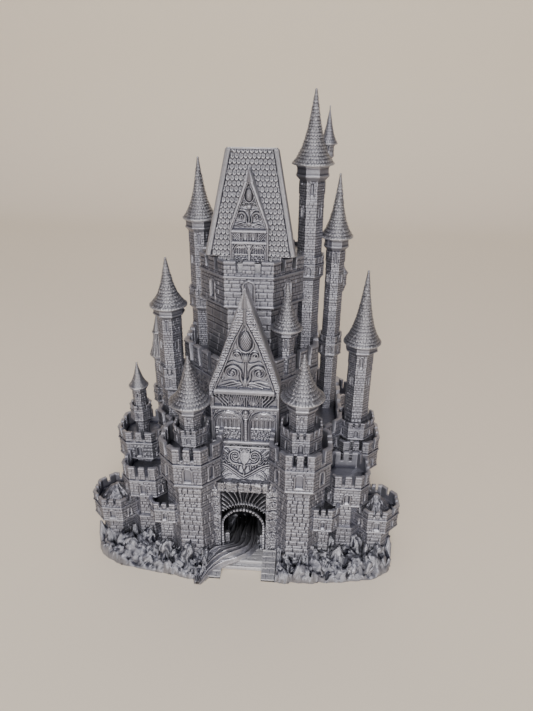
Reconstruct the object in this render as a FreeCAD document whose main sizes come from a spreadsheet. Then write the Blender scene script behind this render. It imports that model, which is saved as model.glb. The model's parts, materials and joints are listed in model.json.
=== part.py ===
import FreeCAD, Part
import os
import Sketcher
from FreeCAD import Placement, Rotation, Vector

# Castle dice tower, assembled from separately made towers, walls, roofs and
# inserts.  Frame: origin at the centre of the footprint on the table plane,
# +Z up, the gate faces -Y, +X is to the right when looking at the gate.
# All sizes in millimetres.  Names ending in _x, _y or _z are positions,
# except half_x and half_y, which are half-widths.  An octagon is given by its
# half-width and by half the length (facet) of its sides parallel to X and Y.

# ---------------------------------------------------------------- dimensions
DIMS = {
    # rock base and gate passage
    "rock_half_x": 92.0, "rock_front_y": -68.0, "rock_back_y": 65.0,
    "rock_top_z": 12.0, "rock_step_z": 6.0, "rock_tier_inset": 4.5,
    "rock_notch_half": 21.0, "floor_z": 5.3, "gate_seat_clear": 0.6,
    "passage_half": 14.0, "arch_half": 11.6, "arch_spring_z": 22.8,
    # drop shaft through ward and keep
    "shaft_half_x": 14.0, "shaft_front_y": -4.0, "shaft_back_y": 40.0,
    # lower ward
    "ward_half_x": 56.0, "ward_half_y": 42.0, "ward_y": 12.0, "ward_corner": 16.0,
    "ward_floor_z": 66.0, "ward_top_z": 78.0, "ward_band_z": 68.0, "ward_wall": 2.2,
    "ward_tunnel_top_z": 42.0, "ward_gap_inner": 8.0, "ward_gap_outer": 24.0,
    "ward_gap_half": 2.6, "ward_gap_depth": 3.0,
    # mid ward
    "mid_half": 40.0, "mid_facet": 16.6, "mid_y": 16.0, "mid_base_z": 66.0,
    "mid_floor_z": 104.0, "mid_top_z": 119.5, "mid_wall": 3.0, "mid_facet_inset": 1.2,
    "mid_gap_wall": 3.4, "mid_gap_z": 108.0,
    # keep
    "keep_half": 27.0, "keep_facet": 12.2, "keep_y": 18.0, "keep_base_z": 104.0,
    "keep_wall_top_z": 145.4, "crown_half": 29.3, "crown_facet": 13.5,
    "crown_floor_z": 163.2, "crown_top_z": 171.9, "crown_gap_wall": 2.3,
    "crown_gap_z": 165.6,
    # keep roof: hollow truncated pyramid, open at the top for the dice
    "roof_half": 24.0, "roof_top_half": 13.3, "roof_eave_z": 173.4, "roof_top_z": 228.2,
    "inlet_half": 12.0, "funnel_inset": 3.2, "funnel_lift": 2.0,
    "roof_plug_half": 27.0, "roof_plug_facet": 12.0, "roof_plug_clear": 0.3,
    "plug_bore_margin": 3.0, "plug_bore_half_y": 19.0,
    # the roof narrows towards the back and its mouth tips backwards
    "roof_back_ratio": 0.87, "roof_shift_x": 0.5, "roof_mouth_drop": 3.8,
    "mouth_run_ratio": 1.2, "mouth_drop_ratio": 1.1, "mouth_cut_half": 30.0,
    "roof_neck_half": 24.5, "roof_neck_facet": 13.0, "roof_neck_x": 20.4, "roof_neck_z": 170.0,
    # dormer gables on the roof
    "dormer_half": 10.4, "dormer_z": 170.2, "dormer_eave_z": 190.2, "dormer_tip_z": 218.6,
    "dormer_tip_half": 0.5, "front_dormer_front_y": -8.0, "front_dormer_back_y": 10.0,
    "rear_dormer_front_y": 26.0, "rear_dormer_back_y": 44.0,
    # gatehouse
    "gate_half_x": 20.5, "gate_front_y": -50.0, "gate_back_y": -30.0,
    "gate_top_z": 58.0, "gate_upper_y": -40.0, "gate_upper_z": 69.0,
    "pilaster_front_y": -53.2, "pilaster_left_in": 11.9, "pilaster_left_out": 18.8,
    "pilaster_right_in": 13.5,
    "lintel_half": 20.5, "lintel_z": 52.0, "lintel_height": 6.0, "lintel_front_y": -55.0,
    "lintel_taper": 1.5,
    "shield_left": 13.6, "shield_right": 16.8, "shield_top_z": 73.6, "shield_top_y": -41.5,
    "shield_front_y": -52.0,
    # window screen above the gate, and the gable on top of it
    "screen_half": 18.6, "screen_front_y": -38.5, "screen_back_y": -24.0,
    "screen_z": 69.0, "screen_top_z": 104.0, "trim_side": 0.5,
    "sill_height": 2.0, "sill_out": 1.6,
    "ledge_z": 97.6, "ledge_top_z": 99.0, "ledge_out": 1.2,
    "window_x": 8.6, "window_half": 6.4, "window_depth": 1.4, "window_top_z": 93.0,
    "window_lift": 0.4,
    "gable_half": 19.3, "gable_z": 104.0, "gable_side": 7.0, "gable_tip_z": 166.5,
    "gable_tip_half": 0.6, "gable_front_y": -38.5, "gable_back_y": -29.0,
    # gate towers
    "gate_tower_left_x": -28.5, "gate_tower_right_x": 32.0, "gate_tower_y": -45.0,
    "gate_tower_shaft_half": 14.5, "gate_tower_shaft_facet": 6.0,
    "gate_tower_crown_half": 16.8, "gate_tower_crown_facet": 7.6,
    "gate_tower_under": 59.6, "gate_tower_band": 73.6, "gate_tower_top": 83.8,
    "gate_tower_wall": 2.2,
    # wall walks of crowned towers, and the mound inside the outer bastions
    "bastion_wall": 1.7, "walk_sink": 1.6,
    "mound_inset": 3.2, "mound_tip": 1.0, "mound_height": 8.0, "mound_sink": 2.0,
    # rings around the slim towers
    "ring_wall": 1.1, "ring_clear": 0.1, "ring_sink": 0.8, "ring_gap_depth": 1.2,
    # eave lip and blunt tip of the cone roofs
    "spire_lip": 0.7, "spire_tip_rad": 0.5, "spire_tip_height": 0.3,
    "bartizan_lip": 0.6, "bartizan_tip_rad": 0.3, "bartizan_tip_height": 0.2,
    # baffles and ramp inside the drop shaft
    "baffle_thick": 2.4, "baffle_reach": 19.0, "baffle_drop": 11.0, "baffle_gap": 0.1,
    "baffle_upper_z": 142.0, "baffle_middle_z": 112.0, "baffle_lower_z": 82.0,
    "ramp_high_z": 46.0, "ramp_shoulder": 6.0, "ramp_toe_y": -24.0, "ramp_toe_z": 6.3,
    # entrance
    "landing_half": 12.0, "landing_y": -60.0, "stair_out": 19.0,
    "stair_front_y": -69.0, "stair_rise": 1.5, "stair_run": 2.9,
    "runner_left_x": -8.0, "runner_right_x": 6.0, "runner_thick": 1.8, "runner_end_gap": 0.2,
    "runner_tail_height": 4.6, "runner_fold_z": 4.0, "runner_fold_height": 6.4,
}

# Octagonal crowned bastions: centre, base, shaft half-width and facet, crown
# underside, string course, merlon top, crown half-width and facet.
BASTION_COLUMNS = "x y base shaft_half shaft_facet under band top crown_half crown_facet"
BASTIONS = {
    "middle_bastion_left": (-57.7, -38.6, 12.0, 9.2, 3.4, 41.7, 52.7, 61.7, 12.4, 7.5),
    "middle_bastion_right": (59.2, -38.6, 12.0, 9.2, 3.2, 42.8, 55.0, 63.2, 12.2, 7.2),
    "side_bastion_left": (-63.5, -19.0, 12.0, 10.5, 5.6, 54.9, 65.8, 72.9, 13.8, 7.6),
    "side_bastion_right": (65.0, -8.0, 12.0, 11.0, 5.6, 46.4, 58.2, 66.7, 14.2, 7.4),
    "outer_bastion_left": (-77.0, -40.0, 12.0, 9.6, 3.9, 24.0, 33.5, 38.7, 13.1, 5.7),
    "outer_bastion_right": (77.2, -40.0, 12.0, 9.4, 3.9, 26.3, 35.3, 40.8, 12.8, 5.2),
    "small_bastion_left": (-44.2, -48.4, 12.0, 4.6, 4.3, 29.7, 38.3, 42.9, 9.6, 5.8),
    "small_bastion_right": (46.1, -48.9, 12.0, 4.6, 3.7, 30.3, 39.3, 45.2, 9.3, 5.1),
    "rear_bastion_left": (-52.0, 47.0, 12.0, 10.0, 4.8, 52.0, 63.0, 71.5, 13.2, 6.6),
    "rear_bastion_right": (52.0, 47.0, 12.0, 10.0, 4.8, 46.0, 57.0, 65.5, 13.2, 6.6),
}

# Slim octagonal towers: centre, base, shaft half-width, ring underside, ring
# string course, ring merlon top, ring half-width (0 for no ring), collar
# underside, collar half-width, eave height (top of the masonry).
TURRET_COLUMNS = "x y base shaft ring_under ring_band ring_top ring collar_under collar eave"
TURRETS = {
    "gate_turret_left": (-28.5, -45.0, 72.0, 5.9, 80.9, 87.0, 90.8, 9.2, 97.8, 7.6, 104.2),
    "gate_turret_right": (32.0, -45.0, 72.0, 6.7, 80.0, 88.5, 94.0, 11.0, 103.2, 8.0, 110.0),
    "corner_turret": (-64.5, -19.0, 64.2, 3.8, 76.4, 82.5, 86.0, 5.8, 95.6, 4.6, 97.6),
    "left_tower": (-46.9, -5.0, 66.0, 6.6, 92.2, 101.0, 106.5, 8.2, 137.6, 8.4, 143.4),
    "left_rear_turret": (-60.4, 15.0, 62.0, 3.2, 69.0, 75.0, 79.0, 5.0, 99.6, 4.2, 101.6),
    "rear_left_tower": (-33.4, 32.0, 104.0, 7.0, 130.5, 138.0, 142.6, 8.3, 178.8, 8.4, 185.1),
    "tall_tower": (32.4, 20.0, 104.0, 7.0, 156.9, 164.0, 168.5, 8.5, 211.0, 8.8, 218.6),
    "slender_tower": (47.8, 22.0, 66.0, 5.4, 105.4, 113.0, 118.0, 6.8, 172.1, 7.0, 178.6),
    "right_tower": (64.5, -8.0, 56.4, 6.8, 66.9, 73.8, 77.9, 11.0, 120.8, 8.5, 126.2),
    "gable_turret": (21.4, -12.0, 104.0, 4.4, 0.0, 0.0, 0.0, 0.0, 130.8, 6.3, 134.6),
}

# Cone roofs: slim tower they stand on, eave radius, tip height.
SPIRES = {
    "gate_spire_left": ("gate_turret_left", 11.4, 131.4),
    "gate_spire_right": ("gate_turret_right", 11.8, 134.8),
    "corner_spire": ("corner_turret", 5.8, 112.6),
    "left_spire": ("left_tower", 10.8, 171.5),
    "left_rear_spire": ("left_rear_turret", 5.8, 130.6),
    "rear_left_spire": ("rear_left_tower", 10.4, 220.0),
    "tall_spire": ("tall_tower", 11.7, 256.0),
    "slender_spire": ("slender_tower", 9.5, 213.9),
    "right_spire": ("right_tower", 10.7, 168.6),
    "gable_spire": ("gable_turret", 9.0, 161.6),
}

# Bartizans, small turrets on a bracket with their own cone roof: centre,
# bracket foot, body underside, body top, body radius, eave radius, tip height.
BARTIZAN_COLUMNS = "x y foot under top rad eave_rad tip"
BARTIZANS = {
    "tall_bartizan": (40.2, 27.6, 218.8, 222.4, 228.2, 3.4, 5.1, 247.6),
    "slender_bartizan": (53.2, 24.5, 144.2, 149.8, 156.0, 2.3, 3.1, 161.6),
}

# Hollow curve of the cone roofs: share of the eave radius, share of the rise.
SPIRE_CURVE = ((0.71, 0.13), (0.46, 0.31), (0.23, 0.62))
BARTIZAN_CURVE = ((0.45, 0.33), (0.23, 0.63))
BRACKET_FOOT = 0.3      # bartizan bracket foot radius / body radius

SQRT_HALF = 0.70710678
REGULAR_FACET = 0.41421  # facet / half-width of a regular octagon
INSET_SHARE = 0.41       # shrinkage of a facet or corner cut per mm of inset
CUT_OVER = 1.0           # how far cuts run past a face, and joined blocks overlap
GAP_OVER = 1.5           # the same for the gaps between merlons
ARCH_OVER = 2.0          # the same for the arch vault, at either end
GAP_EDGE = 0.68          # outer edge of a wide side's gaps / facet
GAP_WIDTH = 0.34         # gap width / facet
GAP_DEPTH = 1.2          # gap depth / wall thickness
RING_GAP_HALF = 0.13     # half-width of a ring's gaps / ring half-width
RING_WALK_ROOM = 2.0     # a ring that stands out further than this has a walk
STAIR_TREADS = 6
MIN_OVERLAP = 1e-3       # shared volume above which two pieces are fitted

for table, columns in ((BASTIONS, BASTION_COLUMNS), (TURRETS, TURRET_COLUMNS),
                       (BARTIZANS, BARTIZAN_COLUMNS)):
    for key, row in table.items():
        for word, value in zip(columns.split(), row):
            DIMS[key + "_" + word] = value
for key, (_, radius, tip) in SPIRES.items():
    DIMS[key + "_rad"] = radius
    DIMS[key + "_tip"] = tip

doc = FreeCAD.newDocument("dice_tower")
sheet = doc.addObject("Spreadsheet::Sheet", "dims")
for i, (name, value) in enumerate(DIMS.items(), start=1):
    sheet.set("A%d" % i, name)
    sheet.set("B%d" % i, "%g" % value)
    sheet.setAlias("B%d" % i, name)
doc.recompute()


# --------------------------------------------------------------- driven sizes
class Size:
    """A size: its number now, and the spreadsheet expression that drives it."""

    def __init__(self, value, expression):
        self.value = float(value)
        self.expression = expression

    def __add__(self, other):
        other = size(other)
        return Size(self.value + other.value, "(%s + %s)" % (self.expression, other.expression))

    def __sub__(self, other):
        other = size(other)
        return Size(self.value - other.value, "(%s - %s)" % (self.expression, other.expression))

    def __mul__(self, other):
        other = size(other)
        return Size(self.value * other.value, "(%s * %s)" % (self.expression, other.expression))

    def __rmul__(self, other):
        return size(other) * self

    def __neg__(self):
        return Size(-self.value, "(0 - %s)" % self.expression)


def size(number):
    if isinstance(number, Size):
        return number
    return Size(number, "%g" % number if number >= 0 else "(0 - %g)" % -number)


def dim(name):
    return Size(DIMS[name], "dims." + name)


def group(prefix, words):
    """The dimensions prefix_word, for each of the words."""
    return [dim(prefix + "_" + word) for word in words.split()]


def drive(obj, prop, value):
    value = size(value)
    setattr(obj, prop, value.value)
    obj.setExpression(prop, value.expression)


def place(obj, x, y, z, rotation):
    base = [size(x), size(y), size(z)]
    obj.Placement = Placement(Vector(*[part.value for part in base]), rotation)
    for axis, part in zip("xyz", base):
        obj.setExpression("Placement.Base." + axis, part.expression)


# ------------------------------------------------------------ modelling tools
def body_at(name, x=0, y=0):
    body = doc.addObject("PartDesign::Body", name)
    place(body, x, y, 0, Rotation())
    return body


def attach(obj, body, offset, role="XY_Plane"):
    """Lays an object on a body's origin plane, shifted along the plane's normal."""
    offset = size(offset)
    origin_plane = [f for f in body.Origin.OriginFeatures if f.Role == role][0]
    obj.AttachmentSupport = [(origin_plane, "")]
    obj.MapMode = "FlatFace"
    obj.AttachmentOffset = Placement(Vector(0, 0, offset.value), Rotation())
    if offset.value != 0:
        obj.setExpression("AttachmentOffset.Base.z", offset.expression)


def sketch(body, name, loops, offset=0.0, role="XY_Plane"):
    """Closed straight-sided loops; every corner is dimensioned from the origin."""
    result = body.newObject("Sketcher::SketchObject", name)
    attach(result, body, offset, role)
    for loop in loops:
        loop = [(size(x), size(y)) for x, y in loop]
        count = len(loop)
        first = result.GeometryCount
        corners = [Vector(x.value, y.value, 0) for x, y in loop]
        result.addGeometry([Part.LineSegment(corners[i], corners[(i + 1) % count])
                            for i in range(count)], False)
        result.addConstraint([
            Sketcher.Constraint("Coincident", first + i, 2, first + (i + 1) % count, 1)
            for i in range(count)])
        for i, (x, y) in enumerate(loop):
            for kind, distance in (("DistanceX", x), ("DistanceY", y)):
                k = result.addConstraint(
                    Sketcher.Constraint(kind, -1, 1, first + i, 1, distance.value))
                result.setExpression("Constraints[%d]" % k, distance.expression)
    return result


def extrude(body, kind, name, profile, length):
    """A Pad or a Pocket of the given length."""
    feature = body.newObject("PartDesign::" + kind, name)
    feature.Profile = profile
    drive(feature, "Length", length)
    body.Tip = feature
    return feature


def pad(body, name, loops, z0, z1):
    return extrude(body, "Pad", name, sketch(body, name + "_sk", loops, z0), size(z1) - z0)


def pocket(body, name, loops, z1, z0):
    """Cuts down from z1 to z0."""
    return extrude(body, "Pocket", name, sketch(body, name + "_sk", loops, z1), size(z1) - z0)


def side_pad(body, sketch_name, name, loop, x0, x1):
    """Pads a side outline (y, z) from x0 to x1."""
    extrude(body, "Pad", name, sketch(body, sketch_name, [loop], x0, "YZ_Plane"), size(x1) - x0)


def upright(name, loop, y0, y1):
    """A plate cut to an upright outline (x, z) and given its depth along Y."""
    body = body_at(name)
    outline = sketch(body, name + "_outline", [loop], -y1, "XZ_Plane")
    extrude(body, "Pad", name + "_plate", outline, y1 - y0)
    return body


def turned(name, x, y, profile):
    """A half profile (radius, z) revolved about the vertical axis at x, y."""
    body = body_at(name, x, y)
    half = sketch(body, name + "_half", [profile], 0.0, "XZ_Plane")
    feature = body.newObject("PartDesign::Revolution", name + "_turned")
    feature.Profile = half
    feature.ReferenceAxis = (half, ["V_Axis"])
    feature.Angle = 360
    body.Tip = feature
    return body


def polar_pocket(body, tag, loops, z1, z0, count):
    """A pocket tag_gap, repeated around the body's axis as tag_gaps."""
    feature = pocket(body, tag + "_gap", loops, z1, z0)
    pattern = body.newObject("PartDesign::PolarPattern", tag + "_gaps")
    pattern.Originals = [feature]
    pattern.Axis = (feature.Profile[0], ["N_Axis"])
    pattern.Angle = 360
    pattern.Occurrences = count
    body.Tip = pattern


def rect(x0, y0, x1, y1):
    return [(x0, y0), (x1, y0), (x1, y1), (x0, y1)]


def octagon(half, facet):
    return [(-facet, -half), (facet, -half), (half, -facet), (half, facet),
            (facet, half), (-facet, half), (-half, facet), (-half, -facet)]


def regular_octagon(half):
    return octagon(half, half * REGULAR_FACET)


def turn45(loop):
    return [((size(x) - y) * SQRT_HALF, (size(x) + y) * SQRT_HALF) for x, y in loop]


def crenels(body, tag, half, facet, wall, z_top, z_low):
    """Gaps between merlons: two in each wide side, one in each corner side."""
    depth = wall * GAP_DEPTH
    width = facet * GAP_WIDTH
    outer, inner = -(half + GAP_OVER), -(half - depth)
    polar_pocket(body, tag,
                 [rect(facet * -GAP_EDGE, outer, facet * -GAP_EDGE + width, inner),
                  rect(facet * GAP_EDGE - width, outer, facet * GAP_EDGE, inner)],
                 z_top, z_low, 4)
    corner = (half + facet) * SQRT_HALF
    gap_half = facet * (GAP_WIDTH / 2)
    loop = rect(-gap_half, -(corner + GAP_OVER), gap_half, -(corner - depth))
    polar_pocket(body, tag + "_corner", [turn45(loop)], z_top, z_low, 4)


def shaft_opening(body_y):
    """Plan of the drop shaft, in a body centred at body_y."""
    half, front, back = group("shaft", "half_x front_y back_y")
    return rect(-half, front - body_y, half, back - body_y)


# ------------------------------------------------------------------ rock base
def rock_outline(inset):
    """Footprint of the crag, with a notch in front for the gatehouse."""
    half = dim("rock_half_x") - inset
    front = dim("rock_front_y") + inset
    back = dim("rock_back_y") - inset
    notch, notch_y = dim("rock_notch_half"), dim("gate_front_y")
    return [(-notch, notch_y), (-notch, front - 4.0 + inset * 0.6), (-46.0, front),
            (half * -0.82, front + 5.0), (-half, -42.0), (-half, 14.0),
            (half * -0.86, back - 14.0), (-52.0, back), (52.0, back),
            (half * 0.86, back - 14.0), (half, 22.0), (half, -40.0),
            (half * 0.9, front + 8.0), (46.0, front + 1.0),
            (notch, front - 1.0 + inset * 0.6), (notch, notch_y)]


def rock_base():
    body = body_at("rock_base")
    step, top, floor = dim("rock_step_z"), dim("rock_top_z"), dim("floor_z")
    pad(body, "rock_lower_tier", [rock_outline(0.0)], 0, step)
    pad(body, "rock_upper_tier", [rock_outline(dim("rock_tier_inset"))], step, top)
    front = dim("gate_front_y") - CUT_OVER
    half = dim("passage_half")
    pocket(body, "rock_passage", [rect(-half, front, half, dim("shaft_back_y"))], top, floor)
    half = dim("gate_half_x") + dim("gate_seat_clear")
    pocket(body, "rock_gate_seat", [rect(-half, front, half, dim("gate_back_y"))], top, floor)
    return body


# ------------------------------------------------------------- wards and keep
def ward_outline(inset):
    x, y = dim("ward_half_x") - inset, dim("ward_half_y") - inset
    corner = dim("ward_corner") - inset * INSET_SHARE
    return [(-(x - corner), -y), (x - corner, -y), (x, -(y - corner)), (x, y - corner),
            (x - corner, y), (-(x - corner), y), (-x, y - corner), (-x, -(y - corner))]


def lower_ward():
    centre_y, half_x, half_y, top, floor, band = group(
        "ward", "y half_x half_y top_z floor_z band_z")
    base = dim("rock_top_z")
    body = body_at("lower_ward", 0, centre_y)
    pad(body, "ward_walls", [ward_outline(0.0)], base, top)
    pocket(body, "ward_deck", [ward_outline(dim("ward_wall"))], top, floor)
    pocket(body, "ward_drop_shaft", [shaft_opening(centre_y)], floor, base)
    tunnel = dim("passage_half")
    pocket(body, "ward_tunnel",
           [rect(-tunnel, -(half_y + CUT_OVER), tunnel,
                 dim("shaft_front_y") - centre_y + CUT_OVER)],
           dim("ward_tunnel_top_z"), base)
    # gaps in the parapet, mirrored onto opposite walls
    gap_half, depth = dim("ward_gap_half"), dim("ward_gap_depth")
    for i, centre in enumerate(group("ward_gap", "inner outer")):
        for j, side in enumerate((-1.0, 1.0)):
            start, end = side * centre - gap_half, side * centre + gap_half
            pocket(body, "ward_gap_%d_%d" % (i, j),
                   [rect(start, -(half_y + CUT_OVER), end, -(half_y - depth)),
                    rect(start, half_y - depth, end, half_y + CUT_OVER)], top, band)
            pocket(body, "ward_side_gap_%d_%d" % (i, j),
                   [rect(-(half_x + CUT_OVER), start, -(half_x - depth), end),
                    rect(half_x - depth, start, half_x + CUT_OVER, end)], top, band)
    return body


def mid_ward():
    centre_y, half, facet, base, floor, top = group("mid", "y half facet base_z floor_z top_z")
    body = body_at("mid_ward", 0, centre_y)
    pad(body, "mid_walls", [octagon(half, facet)], base, top)
    deck = octagon(half - dim("mid_wall"), facet - dim("mid_facet_inset"))
    pocket(body, "mid_deck", [deck], top, floor)
    pocket(body, "mid_drop_shaft", [shaft_opening(centre_y)], floor, base)
    crenels(body, "mid", half, facet, dim("mid_gap_wall"), top, dim("mid_gap_z"))
    return body


def keep_wall():
    centre_y, half, facet, base, top = group("keep", "y half facet base_z wall_top_z")
    body = body_at("keep_wall", 0, centre_y)
    pad(body, "keep_masonry", [octagon(half, facet)], base, top)
    pocket(body, "keep_drop_shaft", [shaft_opening(centre_y)], top, base)
    return body


def keep_crown():
    """Parapet of the keep, with a socket for the roof plug."""
    centre_y, base = dim("keep_y"), dim("keep_wall_top_z")
    half, facet, floor, top = group("crown", "half facet floor_z top_z")
    body = body_at("keep_crown", 0, centre_y)
    pad(body, "crown_masonry", [octagon(half, facet)], base, top)
    pocket(body, "crown_socket", [octagon(*group("roof_plug", "half facet"))], top, floor)
    pocket(body, "crown_drop_shaft", [shaft_opening(centre_y)], floor, base)
    crenels(body, "crown", half, facet, dim("crown_gap_wall"), top, dim("crown_gap_z"))
    return body


# ------------------------------------------------------------------ gatehouse
def gatehouse():
    """Stepped block with two pilasters, pierced by an arched passage."""
    half, front, back, top, upper_y, upper_z = group(
        "gate", "half_x front_y back_y top_z upper_y upper_z")
    left_out, left_in, right_in, pilaster_y = group(
        "pilaster", "left_out left_in right_in front_y")
    floor, lintel_z = dim("floor_z"), dim("lintel_z")
    arch_half, spring = dim("arch_half"), dim("arch_spring_z")
    block = body_at("gatehouse_block")
    pad(block, "gate_block", [rect(-half, front, half, back)], floor, top)
    pad(block, "gate_upper_block", [rect(-half, upper_y, half, back)], top, upper_z)
    pad(block, "pilaster_left", [rect(-left_out, pilaster_y, -left_in, front + CUT_OVER)],
        floor, lintel_z)
    pad(block, "pilaster_right", [rect(right_in, pilaster_y, half, front + CUT_OVER)],
        floor, lintel_z)
    pocket(block, "gate_passage_sides",
           [rect(-arch_half, front - CUT_OVER, arch_half, back + CUT_OVER)], spring, floor)

    arch = doc.addObject("Part::Cylinder", "arch_vault")
    drive(arch, "Radius", arch_half)
    drive(arch, "Height", back - front + 2 * ARCH_OVER)
    place(arch, 0, front - ARCH_OVER, spring, Rotation(Vector(1, 0, 0), -90))

    arched = doc.addObject("Part::Cut", "gatehouse_arched")
    arched.Base = block
    arched.Tool = arch
    arched.Label = "gatehouse"
    return arched


def gate_lintel():
    half, taper, front, z, height = group("lintel", "half taper front_y z height")
    back = dim("gate_front_y")
    body = body_at("gate_lintel")
    pad(body, "lintel_slab",
        [[(-half + taper, front), (half - taper, front), (half, back), (-half, back)]],
        z, z + height)
    return body


def shield_panel():
    """Leaning panel between the lintel and the window sill."""
    left, right, front, top_y, top_z = group("shield", "left right front_y top_y top_z")
    gate_top, upper_y, upper_z = group("gate", "top_z upper_y upper_z")
    screen_y = dim("screen_front_y")
    body = body_at("shield_panel")
    side_pad(body, "shield_side", "shield_wedge",
             [(front, gate_top), (top_y, top_z), (screen_y, top_z),
              (screen_y, upper_z), (upper_y, upper_z), (upper_y, gate_top)], -left, right)
    return body


def window_screen():
    """Wall above the gate, with a sill, a ledge and two blind windows."""
    half, front, back, base, top = group("screen", "half front_y back_y z top_z")
    sill_z = dim("shield_top_z")
    sill_top = sill_z + dim("sill_height")
    trim = half + dim("trim_side")
    body = body_at("window_screen")
    pad(body, "screen_wall", [rect(-half, front, half, back)], base, top)
    pad(body, "screen_sill", [rect(-trim, front - dim("sill_out"), trim, front + CUT_OVER)],
        sill_z, sill_top)
    pad(body, "screen_ledge", [rect(-trim, front - dim("ledge_out"), trim, front + CUT_OVER)],
        dim("ledge_z"), dim("ledge_top_z"))
    centre, window_half, depth, window_top, lift = group("window", "x half depth top_z lift")
    for i, side in enumerate((-1.0, 1.0)):
        pocket(body, "screen_window_%d" % i,
               [rect(side * centre - window_half, front - CUT_OVER,
                     side * centre + window_half, front + depth)],
               window_top, sill_top + lift)
    return body


def gable_outline(half, foot, eave, tip_half, tip):
    return [(-half, foot), (half, foot), (half, eave),
            (tip_half, tip), (-tip_half, tip), (-half, eave)]


def gable_front():
    half, z, side, tip_half, tip, front, back = group(
        "gable", "half z side tip_half tip_z front_y back_y")
    return upright("gable_front", gable_outline(half, z, z + side, tip_half, tip), front, back)


# ------------------------------------------------- gate towers and bastions
def crowned(name, x, y, base, shaft_half, shaft_facet, under, band, top,
            crown_half, crown_facet, wall):
    """Octagonal shaft with a wider, hollow, crenellated crown."""
    body = body_at(name, x, y)
    pad(body, name + "_shaft", [octagon(shaft_half, shaft_facet)], base, under)
    pad(body, name + "_crown", [octagon(crown_half, crown_facet)], under, top)
    pocket(body, name + "_walk",
           [octagon(crown_half - wall, crown_facet - wall * INSET_SHARE)],
           top, band - dim("walk_sink"))
    crenels(body, name, crown_half, crown_facet, wall, top, band)
    return body


def gate_tower(side):
    return crowned("gate_tower_" + side, dim("gate_tower_%s_x" % side), dim("gate_tower_y"),
                   dim("rock_top_z"),
                   *group("gate_tower", "shaft_half shaft_facet under band top "
                                        "crown_half crown_facet wall"))


def add_mound(body, name, crown_half, band):
    """Low cone inside a crown."""
    inset, tip, height, sink = group("mound", "inset tip height sink")
    mound = body.newObject("PartDesign::AdditiveCone", name + "_mound")
    drive(mound, "Radius1", crown_half - inset)
    drive(mound, "Radius2", tip)
    drive(mound, "Height", height)
    attach(mound, body, band - sink)
    body.Tip = mound


def bastion(name):
    body = crowned(name, *group(name, BASTION_COLUMNS), dim("bastion_wall"))
    if name.startswith("outer"):
        add_mound(body, name, *group(name, "crown_half band"))
    return body


# ------------------------------------------------- slim towers and cone roofs
def turret(name):
    """Slim shaft with a collar under the eaves and, on most, a crenellated ring."""
    (x, y, base, shaft, ring_under, ring_band, ring_top, ring,
     collar_under, collar, eave) = group(name, TURRET_COLUMNS)
    body = body_at(name, x, y)
    pad(body, name + "_shaft", [regular_octagon(shaft)], base, eave)
    pad(body, name + "_collar", [regular_octagon(collar)], collar_under, eave)
    if ring.value > 0:
        pad(body, name + "_ring", [regular_octagon(ring)], ring_under, ring_top)
        gap_inner = shaft + dim("ring_clear")
        if (ring - shaft).value > RING_WALK_ROOM:
            pocket(body, name + "_walk",
                   [regular_octagon(ring - dim("ring_wall")), regular_octagon(gap_inner)],
                   ring_top, ring_band - dim("ring_sink"))
            gap_inner = ring - dim("ring_gap_depth")
        half = ring * RING_GAP_HALF
        polar_pocket(body, name, [rect(-half, -(ring + CUT_OVER), half, -gap_inner)],
                     ring_top, ring_band, 8)
    return body


def cone_profile(kind, eave, radius, tip, curve):
    """Half profile (radius, z) of a hollow-curved cone roof, from eave edge to tip."""
    lip, tip_radius, tip_height = group(kind, "lip tip_rad tip_height")
    rise = tip - eave
    return ([(radius, eave), (radius, eave + lip)]
            + [(radius * out, eave + rise * up) for out, up in curve]
            + [(tip_radius, tip - tip_height), (0.0, tip)])


def spire(name):
    x, y, eave = group(SPIRES[name][0], "x y eave")
    radius, tip = group(name, "rad tip")
    return turned(name, x, y,
                  [(0.0, eave)] + cone_profile("spire", eave, radius, tip, SPIRE_CURVE))


def bartizan(name):
    x, y, foot, under, top, radius, eave_radius, tip = group(name, BARTIZAN_COLUMNS)
    masonry = [(0.0, foot), (radius * BRACKET_FOOT, foot), (radius, under), (radius, top)]
    return turned(name, x, y,
                  masonry + cone_profile("bartizan", top, eave_radius, tip, BARTIZAN_CURVE))


# ------------------------------------------------------------------ keep roof
def neck_outline():
    """Octagon of the neck below the eaves, narrower in X than in Y."""
    half, facet, x = group("roof_neck", "half facet x")
    y = half - (x - facet)
    return [(-facet, -half), (facet, -half), (x, -y), (x, y),
            (facet, half), (-facet, half), (-x, y), (-x, -y)]


def roof_plan(half):
    """Plan of the roof: full width in front, narrower at the back."""
    ratio, shift = group("roof", "back_ratio shift_x")
    return [(shift - half, -half), (shift + half, -half),
            (shift + half * ratio, half), (shift - half * ratio, half)]


def roof_loft(body, kind, name, tag, foot_half, foot_z, head_half):
    """Loft from a roof plan at foot_z to a smaller one at the roof's top."""
    foot = sketch(body, tag + "_foot", [roof_plan(foot_half)], foot_z)
    head = sketch(body, tag + "_head", [roof_plan(head_half)], dim("roof_top_z"))
    loft = body.newObject("PartDesign::" + kind, name)
    loft.Profile = foot
    loft.Sections = [head]
    loft.Ruled = True
    body.Tip = loft


def roof_outside(body, tag):
    eave = dim("roof_eave_z")
    pad(body, tag + "_neck", [neck_outline()], dim("roof_neck_z"), eave)
    roof_loft(body, "AdditiveLoft", tag + "_slopes", tag,
              dim("roof_half"), eave, dim("roof_top_half"))


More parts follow.
